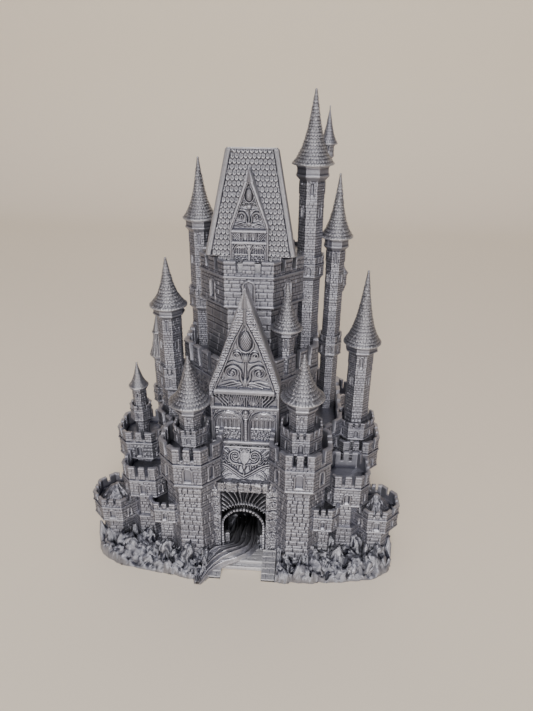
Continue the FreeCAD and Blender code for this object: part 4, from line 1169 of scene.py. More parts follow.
def keep_roof():
    """Tiled four-sided funnel, open at the top, on a neck that drops into the crown."""
    res = pick(0.30)
    rise = ROOF_Z1 - ROOF_Z0

    def square(half):
        return octagon(half, half, half - 0.55, half - 0.55)

    profile = Profile().add(square(20.6), ROOF_Z0)
    profile.to(square(ROOF_HALF0 - 0.15), ROOF_Z0, n=5)
    profile.step(square(ROOF_HALF0), ROOF_Z0 + 0.25, BAND)
    zs = np.linspace(ROOF_Z0 + 0.25, ROOF_Z1 - 1.0, int(math.ceil(rise / res)))[1:-1]
    profile.to(square(ROOF_HALF0 + (ROOF_HALF1 - ROOF_HALF0) * (rise - 1.0) / rise),
               ROOF_Z1 - 1.0, SHAFT, zs=zs)
    profile.step(square(ROOF_HALF1), ROOF_Z1 - 0.75, BAND)
    profile.to(square(ROOF_HALF1), ROOF_Z1 - 0.1, BAND, n=2)
    profile.step(square(ROOF_HALF1 - 0.25), ROOF_Z1)
    profile.to(square(12.0), ROOF_Z1, n=2)
    profile.to(square(20.8), ROOF_Z0 + 2.0, LINING, res=1.1)
    profile.step(square(20.6), ROOF_Z0 + 1.2)

    def slope_relief(skin):
        hip_width = 1.75
        inset = skin.half - np.abs(skin.s)
        hip = 0.80 * bead(inset, 0.75, 1.15) + 0.1
        face = np.where(inset < hip_width + 0.34, -1.0, roof_tiles(skin))
        face = np.where(inset < hip_width, hip, face)
        out = np.where(skin.tag == SHAFT, np.where(np.isin(skin.facet, FLATS), face, 0.80), 0.0)
        out = np.where(skin.tag == BAND, 0.30, out)
        # coursed lining inside the mouth
        lining = 0.18 * joint(np.abs(np.mod(skin.z, 2.4) - 1.2), 0.4)
        return np.where(skin.tag == LINING, lining, out)

    shell = Shell()
    lathe(shell, ROOF_X, KEEP_Y, profile, slope_relief, wrap=True, res=res)
    # the roof narrows towards the back and its mouth tips backwards
    for points in shell.points:
        up = np.clip((points[:, 2] - ROOF_Z0) / rise, 0, 1)
        half = ROOF_HALF0 + (ROOF_HALF1 - ROOF_HALF0) * up
        back = np.clip((points[:, 1] - KEEP_Y + half) / (2 * half), 0, 1)
        points[:, 0] = ROOF_X + (points[:, 0] - ROOF_X) * (1 - 0.13 * back)
        points[:, 2] -= 3.8 * back * up ** 3
    # plug inside the parapet, and a neck that carries the tiles on in front and behind
    plug = octagon(26.4, 26.4, 11.7, 11.7)
    neck = octagon(20.4, 24.5, 17.1, 13.0)
    hole = octagon(17.0, 19.0, 16.4, 18.4)
    profile = Profile().add(hole, 163.4)
    profile.to(plug, 163.4, res=2.0)
    profile.to(plug, 170.0, res=1.5)
    profile.to(neck, 170.1, res=1.5)
    profile.to(neck, ROOF_Z0 + 0.3, SHAFT, res=res)
    profile.to(hole, ROOF_Z0 + 0.9, res=2.0)
    profile.to(hole, 164.4, res=2.0)

    def neck_relief(skin):
        tiled = (skin.tag == SHAFT) & np.isin(skin.facet, [0, 4])
        return np.where(tiled, roof_tiles(skin) - 0.2, 0.0)

    lathe(shell, 0, KEEP_Y, profile, neck_relief, wrap=True, res=res)
    shell.build("keep_roof", "roof")


def bartizan(name, cx, cy, foot, under, top, radius, eave_radius, tip):
    """Small round turret on a moulded corbel, with a shingled cone."""
    seed = SEEDS[name]
    res = pick(0.3)
    profile = Profile().add(octagon(0.35), foot, roundness=1.0)
    # share of the corbel's height, share of the drum's radius
    for up, share in ((0.15, 0.42), (0.22, 0.50), (0.24, 0.44), (0.45, 0.66), (0.52, 0.74),
                      (0.54, 0.68), (0.80, 0.95), (0.90, 1.04), (1.0, 1.04)):
        profile.to(octagon(radius * share), foot + (under - foot) * up, n=2)
    masonry = Masonry(under - 1, top, 1.3, 2.0, seed, amp=0.28, bevel=0.24, rough=0.05,
                      quoin=0.3)
    profile.step(octagon(radius), under + 0.3)
    profile.courses(octagon(radius), top - 1.0, SHAFT, masonry, res)
    profile.step(octagon(radius * 1.1), top - 0.7)
    profile.to(octagon(radius * 1.1), top - 0.1, n=2)
    profile.to(octagon(eave_radius * 0.96), top, n=3)
    profile.step(octagon(eave_radius), top + 0.2)
    profile.step(octagon(eave_radius), top + 0.6)
    rise = tip - top
    n = int(rise / res)
    for k in range(1, n + 1):
        t = k / n * 0.96
        r = max(eave_radius * (0.56 * (1 - t) + 0.44 * math.exp(-t / 0.2)), 0.3)
        profile.step(octagon(r), top + 0.6 + (rise - 0.6) * t, UPPER)
    profile.step(octagon(0.42), tip - 0.45)
    profile.to(octagon(0.1), tip, n=2)
    walls = carve(masonry, seed=seed)
    offsets = np.random.RandomState(seed).uniform(0, 1, 300)

    def relief(skin):
        x, y, z = skin.x, skin.y, skin.z
        tile = 1.35
        row = np.clip(np.floor((z - top) / tile), 0, 299).astype(int)
        up = (z - top) / tile - row
        row_r = eave_radius * np.maximum(1 - row * tile / rise, 0.05)
        count = np.maximum(5, np.round(2 * math.pi * row_r / tile))
        turn = np.arctan2(y, x) / (2 * math.pi) * count + offsets[row]
        k = np.floor(turn)
        across = (turn - k - 0.5) * 2
        rnd = random_at(np.mod(k, count), row, 1, seed)
        lift = np.where(up > 0.3 * np.abs(across) ** 2, 1 - 0.85 * up, 0.05)
        side = 0.5 + 0.5 * smooth((1 - np.abs(across)) / 0.3)
        shingle = 0.32 * (lift * side * (0.75 + 0.5 * rnd) - 0.4)
        shingle = shingle * smooth((np.hypot(x, y) - 0.4) / 0.9)
        out = np.where(skin.tag == UPPER, shingle, walls(skin))
        # one arrow slit towards the front
        off = np.abs(np.arctan2(x, -y) * radius) - radius * 0.13
        d = np.maximum(off, np.abs(z - (under + top) / 2 - 0.8) - (top - under) * 0.2)
        slit = np.where(d < 0, -0.7, np.where(d < 0.4, 0.22, 0.0))
        return np.where(skin.tag == SHAFT, out * (1 - smooth((0.5 - d) / 0.2)) + slit, out)

    shell = Shell()
    lathe(shell, cx, cy, profile, relief,
          facet_cols=max(6, int(2 * math.pi * eave_radius / res / 8)))
    shell.build(name)


def two_tier_spire(name):
    """Steep small cone on a collar, over a ribbed flared cone."""
    tower, radius, tip = SPIRES[name]
    cx, cy, *_, eave = TURRETS[tower]
    profile = Profile().add(octagon(2.0), eave, roundness=1.0)
    profile.to(octagon(radius * 0.97), eave, n=3)
    profile.step(octagon(radius), eave + 0.2)
    profile.step(octagon(radius), eave + 0.7)
    mid = eave + (tip - eave) * 0.52
    rows = 44
    for k in range(1, rows + 1):
        t = k / rows
        r = 2.7 + (radius - 2.7) * (1 - t) ** 1.9
        profile.step(octagon(r), eave + 0.7 + (mid - eave - 0.7) * t, UPPER)
    profile.step(octagon(3.4), mid + 0.3)
    profile.to(octagon(3.4), mid + 0.9, n=2)
    profile.step(octagon(2.9), mid + 1.2)
    rows = 30
    for k in range(1, rows + 1):
        t = k / rows
        r = max(2.9 * (1 - t) ** 1.12, 0.14)
        profile.step(octagon(r), mid + 1.2 + (tip - mid - 1.2) * t)

    def relief(skin):
        x, y, z = skin.x, skin.y, skin.z
        ribs = 0.16 * np.cos(16 * np.arctan2(y, x) + 0.3 * np.sin(z))
        ribs = ribs + 0.1 * noise(x * 1.5, y * 1.5, z * 1.2, 4)
        return np.where(skin.tag == UPPER, ribs, 0.0)

    shell = Shell()
    lathe(shell, cx, cy, profile, relief, facet_cols=18)
    shell.build(name, "roof")


# ------------------------------------------------------------------ carved panels
class Relief:
    """Height field (mm towards the viewer) over a grid of x and v (v runs up)."""

    def __init__(self, x, v, base):
        self.x, self.v = x, v
        self.h = np.zeros_like(x) + base

    def ridge(self, points, level, width, height, end_width=None, end_height=None, flat=0.0):
        """Rounded ridge along a line; width is to each side, flat the share left level."""
        points = np.asarray(points, float)
        end_width = width if end_width is None else end_width
        end_height = height if end_height is None else end_height
        margin = max(width, end_width) + 0.05
        lo, hi = points.min(axis=0) - margin, points.max(axis=0) + margin
        near = (self.x > lo[0]) & (self.x < hi[0]) & (self.v > lo[1]) & (self.v < hi[1])
        x, v = self.x[near], self.v[near]
        lengths = np.linalg.norm(np.diff(points, axis=0), axis=1)
        total = lengths.sum() + 1e-9
        run = 0.0
        best = np.full(x.shape, -1e9)
        for a, b, length in zip(points[:-1], points[1:], lengths):
            d = b - a
            t = ((x - a[0]) * d[0] + (v - a[1]) * d[1]) / (length * length + 1e-12)
            t = np.clip(t, 0, 1)
            dist = np.hypot(x - a[0] - t * d[0], v - a[1] - t * d[1])
            q = (run + t * length) / total
            w = width + (end_width - width) * q
            h = height + (end_height - height) * q
            k = np.clip((dist - flat * w) / ((1 - flat) * w + 1e-9), 0, 1)
            best = np.maximum(best, np.where(dist < w, h * np.sqrt(1 - k * k), -1e9))
            run += length
        self.h[near] = np.maximum(self.h[near], level + best)

    def mirrored(self, strokes, level):
        """Ridges given as (points, sizes...) on the right, drawn on both sides of x = 0."""
        for points, *sizes in strokes:
            for side in (-1, 1):
                self.ridge(points * np.array((side, 1)), level, *sizes)

    def dome(self, x, v, rx, rv, height, level, texture=None):
        q = ((self.x - x) / rx) ** 2 + ((self.v - v) / rv) ** 2
        on = q < 1
        h = level + height * np.sqrt(1 - q[on])
        if texture is not None:
            h = h + texture[on]
        self.h[on] = np.maximum(self.h[on], h)


def volute(x, v, r0, r1, start, turns, n):
    """Spiral from radius r0 at the angle start (degrees) to radius r1."""
    a = np.radians(start) + np.linspace(0, turns * 2 * math.pi, n)
    r = r0 + (r1 - r0) * np.linspace(0, 1, n) ** 0.8
    return np.stack([x + r * np.cos(a), v + r * np.sin(a)], 1)


def bezier(*points):
    """Quadratic curve through three control points or cubic through four."""
    t = np.linspace(0, 1, 16)[:, None]
    p = [np.array(q) for q in points]
    if len(p) == 3:
        return (1 - t) ** 2 * p[0] + 2 * t * (1 - t) * p[1] + t ** 2 * p[2]
    return ((1 - t) ** 3 * p[0] + 3 * t * (1 - t) ** 2 * p[1]
            + 3 * t ** 2 * (1 - t) * p[2] + t ** 3 * p[3])


def upright(y_face, side=-1):
    """Places panel points on an upright face that looks towards -Y (side -1) or +Y (1)."""
    def place(x, z, h):
        return np.stack([x * -side, y_face + side * h, z], axis=2)
    return place


def slab(shell, v, left, right, field, place, depth, res):
    """Closed panel. v: rows, with left and right edges; field(x, v): height of the face;
    place(x, v, h): position; depth(x, v): how far the back lies behind h = 0."""
    cols = max(8, int(math.ceil((right - left).max() / res)))
    left, right = left[:, None], right[:, None]
    x = left + (right - left) * np.linspace(0, 1, cols + 1)[None, :]
    v = v[:, None] * np.ones((1, cols + 1))
    h = field(x, v)
    d = depth(x, v)
    side_rows = 5

    def edge(column, shares):
        c = slice(column, column + 1 or None)
        return [place(x[:, c], v[:, c], h[:, c] * (1 - q) - d[:, c] * q) for q in shares]

    shares = [k / side_rows for k in range(1, side_rows)]
    back = slice(None, None, 4 if cols % 4 == 0 else 1)       # the back is coarser
    x_back, v_back, d_back = (a[:, ::-1][:, back] for a in (x, v, d))
    shell.tube(np.concatenate(
        [place(x, v, h)] + edge(-1, shares) + [place(x_back, v_back, -d_back)]
        + edge(0, [1 - q for q in shares]), axis=1))


def frieze(x, v, half, v0, v1):
    """Four bays: struts in the outer two, a palmette in the inner two."""
    r = Relief(x, v, -1.5)
    bays = 4
    bay = 2 * half / bays
    for b in range(bays):
        end = -half + bay * (b + 1)
        mid = (-half + bay * b + end) / 2
        if b in (0, bays - 1):
            s = 1 if b == 0 else -1
            for k in range(4):
                o = (k - 1.2) * bay * 0.24
                r.ridge([(mid - s * (bay * 0.46) + s * o, v1), (mid + s * (bay * 0.34) + s * o, v0)],
                        -1.3, 0.42, 1.15, end_height=1.3)
        else:
            for k in range(-3, 4):
                leaf = bezier((mid + k * bay * 0.05, v0),
                              (mid + k * bay * 0.13, v0 + (v1 - v0) * 0.5),
                              (mid + k * bay * 0.145, v1 - 0.5))
                r.ridge(leaf, -1.3, 0.36, 1.0, 0.5, 1.3)
            r.dome(mid, v0 + 0.8, 1.2, 1.5, 1.1, -1.0)
        if b < bays - 1:
            for o in (-0.62, 0.62):
                r.ridge([(end + o, v0), (end + o, v1)], -0.9, 0.40, 1.3, flat=0.3)
            r.ridge([(end, v0), (end, v1)], -1.0, 0.25, 0.4)
    return r.h


def scrollwork(x, z, scale, level):
    """Cone in a drop frame on a cup, over paired volutes and leaves. It stands on z = 0
    and is 38.8 tall at scale 1."""
    r = Relief(x / scale, z / scale, -1.5)
    root = scale ** 0.5
    drop = np.array([(0, 38.8), (1.6, 35.6), (3.6, 32.2), (4.5, 28.4), (3.9, 24.8),
                     (2.0, 22.4), (0, 21.7)])
    u, w = (r.x + r.v * 0.62) / 1.15, (r.x - r.v * 0.62) / 1.15
    scales = 0.32 * (np.abs(np.sin(u * math.pi)) * np.abs(np.sin(w * math.pi))) - 0.15
    r.dome(0, 28.2, 3.3, 5.6, 2.3 * root, level, scales * scale)
    r.ridge([(0, 33.6), (0, 36.6)], level, 0.5, 1.2, 0.2, 0.5)
    # cup
    r.dome(0, 18.6, 2.6, 2.3, 1.9 * root, level)
    for s in (-1, -0.5, 0, 0.5, 1):
        r.ridge([(s * 1.0, 16.6), (s * 2.1, 20.6)], level, 0.38, 1.9 * root)
    big = volute(7.3, 9.6, 5.1, 1.5, 205, -1.32, 60)
    stem = bezier((0.5, 2.6), (1.9, 4.2), tuple(big[0]))
    # line, width, height, end width, end height
    r.mirrored((
        (drop, 0.62, 1.3),
        # curls and leaves beside the cup
        (volute(5.2, 19.8, 1.9, 0.5, 180, -1.2, 26), 0.55, 1.35, 0.4),
        (bezier((2.4, 21.4), (4.2, 23.4), (6.6, 21.8)), 0.42, 1.0, 0.2),
        # big volutes
        (np.concatenate([stem, big]), 0.85, 1.7, 0.55, 1.5),
        (volute(7.3, 9.6, 3.55, 1.2, 160, -0.9, 40), 0.34, 1.0),
        (bezier((1.2, 15.6), (2.4, 14.2), (4.2, 15.6), (6.6, 16.2)), 0.5, 1.4, 0.3),
        (bezier((6.6, 16.2), (9.6, 15.9), (10.8, 13.6)), 0.42, 1.2, 0.2),
        # leaves along the base line
        (bezier((1.8, 3.4), (5.0, 4.6), (9.0, 1.6), (13.4, 0.9)), 0.75, 1.5, 0.35, 1.0),
        (bezier((2.2, 2.2), (5.0, 2.8), (7.4, 0.8), (9.6, 0.6)), 0.5, 1.2, 0.25),
        (bezier((4.8, 3.9), (8.0, 5.4), (10.6, 3.6), (12.6, 3.4)), 0.45, 1.2, 0.2),
        (bezier((1.6, 1.2), (2.8, 1.1), (4.0, 0.4)), 0.4, 1.1, 0.2),
    ), level)
    for s in (-1, 1):
        r.dome(s * 7.3, 9.6, 1.25, 1.25, 1.7, level)
        r.dome(s * 12.2, 5.6, 0.7, 0.7, 0.9, level)
        r.dome(s * 3.9, 24.2, 0.55, 0.55, 0.9, level)
    # pendant palmette and neck
    r.dome(0, 3.6, 1.7, 2.6, 2.0, level)
    for s in (-1, 0, 1):
        r.ridge([(s * 0.35, 5.8), (s * 1.1, 1.6)], level, 0.36, 2.0)
    r.ridge([(0, 5.6), (0, 15.6)], level, 1.0, 1.1, 0.45, 1.4)
    return r.h


def lancets(r, centre, half, v0, spring, top, level=-1.0):
    """Blind arched window filled with tracery: mullions above, filigree below."""
    x, v = r.x - centre, r.v
    d = np.hypot(x, np.maximum(v - spring, 0) * half / (top - spring)) - half
    bar_v = v0 + (top - v0) * 0.42
    pitch = half * 2 / 6.0
    phase = x / pitch
    mullion = level + 0.85 * (1 - smooth(np.abs(phase - np.round(phase)) * pitch / 0.34))
    mid = np.abs(phase - np.floor(phase) - 0.5) * 2
    head = bar_v + (top - bar_v) * 0.62 - 0.8 * mid ** 2 * 1.6
    upper = np.where(v > head, level + 0.75, mullion)
    eye = (v > head) & (np.abs(v - head - 1.4) < 0.45) & (mid < 0.5)
    upper = np.where(eye, level + 0.1, upper)
    # small scrolls and dots below
    cell = 2.15
    row = np.floor((v - v0) / cell)
    place = x / cell + 0.5 * np.mod(row, 2)
    cell_x = (place - np.floor(place) - 0.5) * cell
    cell_v = v - v0 - (row + 0.5) * cell
    radius = np.hypot(cell_x, cell_v)
    twist = np.mod(np.floor(place) + row, 2) * 2 - 1
    angle = np.arctan2(cell_v, cell_x * twist)
    spiral = np.abs(radius - (0.28 + 0.13 * (angle + math.pi)))
    filigree = level + 1.15 * (1 - smooth(spiral / 0.34))
    filigree = filigree + 0.35 * noise(r.x * 1.4, v * 1.4, 0, 12)
    filigree = np.maximum(filigree, level + 1.3 * (1 - smooth((radius - 0.1) / 0.32)))
    h = np.where(v > bar_v, upper, filigree)
    h = np.where(np.abs(v - bar_v) < 0.42, level + 0.95, h)
    r.h = np.where(d < 0, h, r.h)
    # double moulding
    for d0, d1, section in ((0, 0.62, 0.75 * bead(d, 0.31, 0.33) - 0.05),
                            (0.62, 0.86, -0.75),
                            (0.86, 1.42, 0.95 * bead(d, 1.14, 0.30) - 0.05),
                            (1.42, 1.62, -0.7)):
        r.h = np.where((d >= d0) & (d < d1), section, r.h)


FRONT_FACE_Y = -38.5
FRIEZE_HALF = 17.6 - 0.4
FRIEZE_Z = 98.5, 106.3          # it runs across the joint between screen and gable


def gable():
    """Tall triangular gable over the gate, with raking courses of small blocks."""
    z0, z1 = 104.0, 166.6
    z = np.linspace(z0, z1, int((z1 - z0) / PANEL_RES))

    def outer(z):
        return np.minimum(19.3, 0.347 * (166.7 - z))

    def shift(z):
        return ORNAMENT_X * np.clip((z - z0) / 20, 0, 1)

    def field(x_full, z):
        x = x_full - shift(z)
        ax = np.abs(x)
        h = scrollwork(x - ORNAMENT_X * 0.3, z - 109.2, 1.0, -1.6)
        # raking courses
        inner = np.interp(z, [104, 106, 111.5, 136.7, 148.8, 170],
                          [16.6, 16.4, 14.6, 5.3, -0.4, -8.0])
        along = (z - z0) * 1.06 / 1.55 + 0.25 * np.sign(x)
        k = np.floor(along)
        part = along - k
        rnd = random_at(k, (x > 0).astype(int), 1, 91)
        brick = 0.95 + 0.5 * joint(np.minimum(part, 1 - part), 0.22) + 0.28 * (rnd - 0.5)
        brick = brick + 0.22 * noise(x * 1.6, z * 1.6, 0, 8)
        d = ax - inner
        rake = np.where(d < 1.42, 0.15, brick)
        rake = np.where(d < 1.15, 1.15 * bead(d, 0.62, 0.62) + 0.25, rake)
        edge = outer(z) - ax
        rake = np.where(edge < 0.55, 0.75 + 0.35 * smooth(edge / 0.4), rake)
        h = np.where((d > 0) & (z > z0), rake, h)
        # frieze and the ledge over it
        h = np.where((z < 106.3) & (ax < 17.4), frieze(x, z, FRIEZE_HALF, *FRIEZE_Z), h)
        q = (z - 106.2) / 3.0
        ledge = np.where(q < 0.12, 1.3, np.where(q < 0.72, 1.9, 1.9 - 2.4 * (q - 0.72)))
        h = np.where((z > 106.2) & (z < 109.2) & (ax < 16.6), ledge, h)
        # rib up to the apex, and the cap
        rib = (z > 147.5) & (ax < 0.9)
        h = np.where(rib, np.maximum(h, 1.4 + 0.5 * (1 - ax / 0.9)), h)
        h = np.where(z > 156, np.where(ax < outer(z) * 0.42, 1.5 - ax * 0.4, 0.7), h)
        return h + 0.03 * noise(x_full * 2, z * 2, 0, 4)

    half = np.maximum(0.45, outer(z))
    shell = Shell()
    slab(shell, z, shift(z) - half, shift(z) + half, field, upright(FRONT_FACE_Y),
         lambda x, z: np.full_like(x, 9.0), PANEL_RES)
    shell.build("gable_front", "ornament")


def screen():
    """Panel under the gable: two blind windows with a beaded column between them."""
    z0, z1, half = 69.0, 104.0, 18.6
    z = np.linspace(z0, z1, int((z1 - z0) / PANEL_RES))

    def field(x_full, z):
        x = x_full - ORNAMENT_X
        r = Relief(x, z, -0.55)
        r.h = r.h + 0.12 * noise(x * 0.9, z * 0.9, 0, 3)
        for centre in (-10.0, 10.0):
            lancets(r, centre, 7.25, 76.0, 86.4, 93.6)
        # leaves and curls in the spandrels
        r.mirrored((
            (bezier((0.9, 90.0), (1.6, 93.0), (4.0, 95.6)), 0.5, 1.1, 0.35),
            (bezier((1.7, 89.0), (2.2, 91.2), (3.6, 93.2)), 0.34, 0.8),
            (bezier((18.0, 91.0), (17.6, 93.6), (15.4, 95.8)), 0.5, 1.0, 0.3),
        ), -0.5)
        for s in (-1, 1):
            r.ridge(volute(s * 16.4, 94.6, 1.1, 0.3, 0, 1.0 * s, 20), -0.5, 0.35, 0.9)
            r.ridge(volute(s * 2.9, 95.2, 0.9, 0.25, 0, 1.0 * s, 18), -0.5, 0.3, 0.9)
        # capital and beaded column
        r.dome(0, 94.8, 1.5, 1.3, 1.6, -0.3)
        r.dome(0, 92.4, 1.0, 1.4, 1.2, -0.3)
        for k in range(-2, 3):
            r.ridge([(k * 0.25, 91.2), (k * 0.62, 93.9)], -0.3, 0.26, 1.3)
        pinch = np.abs(np.mod(z, 1.15) - 0.575) / 0.575
        column = 0.35 + 0.75 * bead(x, 0.0, 1.0) * (1 - 0.45 * pinch ** 2)
        h = np.where((np.abs(x) < 1.0) & (z < 90.5) & (z > 76), column, r.h)
        # ledges: foot, top, how far they stand out
        for foot, top, proud in ((73.6, 75.9, 1.7), (96.5, 98.5, 1.35)):
            q = (z - foot) / (top - foot)
            ledge = np.where(q < 0.75, proud, proud - 1.2 * (q - 0.75) / 0.25 * 0.6)
            ledge = np.where(q < 0.15, proud - 0.5, ledge)
            ledge = ledge + 0.10 * noise(x * 0.8, z * 0.3, 0, 21)
            h = np.where((z > foot) & (z < top), ledge, h)
        strip = np.where(np.abs(x) < 17.4, frieze(x, z, FRIEZE_HALF, *FRIEZE_Z), 0.75)
        h = np.where(z > 98.45, strip, h)
        # rounded edge at the sides
        edge = half - np.abs(x_full)
        h = np.where((edge < 0.9) & (z > 75.9) & (z < 96.5), 0.35 * bead(edge, 0.45, 0.5), h)
        return h + 0.02 * noise(x_full * 2, z * 2, 0, 4)

    shell = Shell()
    slab(shell, z, np.full_like(z, -half), np.full_like(z, half + 0.6), field,
         upright(FRONT_FACE_Y), lambda x, z: np.full_like(x, 14.5), PANEL_RES)
    shell.build("window_screen", "ornament")


def shield():
    """Panel that leans back under the screen: blank shield, scrolls and a V moulding."""
    y0, z0, y1, z1 = -52.0, 58.0, -41.5, 73.6           # foot and head of the face
    length = math.hypot(y1 - y0, z1 - z0)
    up_y, up_z = (y1 - y0) / length, (z1 - z0) / length
    v = np.linspace(0, length, int(length / PANEL_RES))

    def field(x_full, v):
        x = x_full - ORNAMENT_X
        level = -1.0
        r = Relief(x, v, level)
        r.h = r.h + 0.35 * fbm(x * 0.5, v * 0.5, 0, 3, 7)
        vee = bezier((16.0, 9.6), (9.5, 9.8), (6.0, 5.2), (0, 2.6))
        r.mirrored((
            (vee, 0.62, 1.9),
            (vee - np.array([0, 1.35]), 0.45, 1.4),
            # big C scrolls
            (volute(5.4, 13.4, 4.5, 1.0, 250, 1.35, 60), 0.72, 2.0, 0.5, 1.7),
            (volute(5.4, 13.4, 3.1, 1.0, 240, 0.9, 40), 0.35, 1.3),
            # lower foliage inside the V
            (bezier((1.2, 8.6), (3.6, 9.6), (5.6, 7.4)), 0.6, 1.6, 0.3),
            (bezier((4.4, 8.6), (7.4, 9.6), (9.4, 8.9)), 0.5, 1.5, 0.25),
            (volute(8.9, 10.9, 1.1, 0.3, 90, 1.1, 22), 0.4, 1.4),
            (volute(1.9, 16.6, 1.3, 0.35, 200, -1.1, 24), 0.42, 1.6),
            # corner leaves below the V
            (bezier((13.0, 1.4), (12.0, 4.6), (9.6, 5.6)), 0.45, 1.1, 0.25),
            (bezier((11.6, 1.2), (9.4, 3.2), (7.2, 3.2)), 0.4, 1.0, 0.25),
        ), level)
        # leaf sprays at the outside
        for leaf_x, leaf_v in ((10.4, 16.8), (11.2, 14.6), (11.6, 12.4), (11.2, 10.4),
                               (12.8, 15.8), (13.3, 13.2), (13.2, 11.2)):
            leaf = bezier((leaf_x - 1.2, leaf_v - 0.9), (leaf_x, leaf_v + 0.9),
                          (leaf_x + 1.1, leaf_v + 0.4))
            r.mirrored(((leaf, 0.5, 1.6, 0.2, 1.0),), level)
            for s in (-1, 1):
                r.dome(s * (leaf_x - 1.3), leaf_v - 1.1, 0.5, 0.5, 1.3, level)
        for s in (-1, 1):
            r.dome(s * 5.4, 13.4, 1.0, 1.0, 1.9, level)
            r.dome(s * 3.6, 7.6, 0.85, 1.7, 1.9, level)
            r.dome(s * 6.4, 8.5, 0.7, 1.3, 1.6, level)
            r.ridge(volute(s * 10.6, 6.6, 0.9, 0.3, 0, 1.0 * s, 18), level, 0.35, 0.9)
        # the shield itself
        width = 2.9 * np.sqrt(np.clip((v - 9.2) / 3.4, 0, 1))
        r.h = np.where((np.abs(x) < width) & (v < 15.6), 0.9 - 0.05 * x ** 2, r.h)
        r.dome(0, 8.2, 1.2, 2.2, 2.1, level)
        r.dome(0, 16.9, 1.6, 1.3, 1.8, level)
        for k in (-1, 0, 1):
            r.ridge([(k * 0.5, 15.9), (k * 1.3, 18.2)], level, 0.4, 2.0)
        r.ridge([(0, 2.6), (0, 5.4)], level, 0.8, 1.9, 0.4)
        # plain strip along the head
        h = np.where(v > length - 0.8, 0.2, r.h)
        return h + 0.04 * noise(x_full * 2, v * 2, 0, 4)

    def place(x, v, h):
        return np.stack([x, y0 + up_y * v - up_z * h, z0 + up_z * v + up_y * h], axis=2)

    def depth(x, v):
        return 3.0 + 5.0 * np.sin(np.clip(v / length, 0, 1) * math.pi)

    shell = Shell()
    slab(shell, v, np.full_like(v, -13.6), np.full_like(v, 16.8), field, place, depth,
         PANEL_RES)
    shell.build("shield_panel", "ornament")


def lintel():
    """Row of rough stones across the head of the gate."""
    res = pick(0.3)
    z0, z1, y_front, y_back = 52.0, 58.2, -55.0, -49.6
    joints = np.array([-20.5, -14.6, -9.3, -2.2, 5.2, 11.4, 15.6, 20.5])
    x = np.linspace(-20.5, 20.5, int(41 / res) + 1)[:, None]
    # section: share of the depth, share of the height
    high, deep = int(6.2 / res), int(5 / res)
    section = [(0.0, k / high) for k in range(high + 1)]
    section += [(k / deep, 1.0) for k in range(1, deep + 1)]
    section += [(1.0, 1 - k / 4) for k in range(1, 5)]
    section += [(1 - k / deep, 0.0) for k in range(1, deep)]
    u, w = np.array(section).T[:, None, :]
    # the ends turn back and dip
    face = y_front + 4.4 * np.clip((np.abs(x - 0.6) - 13.6) / 6.2, 0, 1)
    head = z1 - 0.9 * np.maximum(0, (np.abs(x) - 15) / 5.5)
    y = face + (y_back - face) * u
    z = z0 + (head - z0) * w
    x = x + 0 * y
    k = np.clip(np.searchsorted(joints, x, side="right") - 1, 0, len(joints) - 2)
    wiggle = 0.35 * np.sin(z * 1.3 + k * 2.1)
    d = np.minimum(np.abs(x + wiggle - joints[k]), np.abs(joints[k + 1] - x - wiggle))
    rnd = random_at(k, 3, 1, 7)
    h = 0.75 * joint(d, 0.7) + 0.5 * (rnd - 0.5)
    h = h + 0.62 * fbm(x * 0.45, y * 0.45, z * 0.55, 3, 31)
    h = h + 0.3 * (1 - np.abs(noise(x * 0.9, y, z * 1.3, 9))) - 0.2
    arris = np.minimum(w, 1 - w)
    front = u < 0.02
    share = np.where(front, 0.55 + 0.45 * smooth(arris / 0.16), 1.0)
    y = y - np.where(u < 0.5, h * share, 0) + np.where(front & (arris < 0.02), 0.4, 0)
    z = z + np.where(w > 0.99, h * 0.5, 0) - np.where(w < 0.01, 0.3 * h, 0)
    shell = Shell()
    shell.tube(np.stack([x, y, z], axis=2), flip=True)
    shell.build("gate_lintel", "ornament")


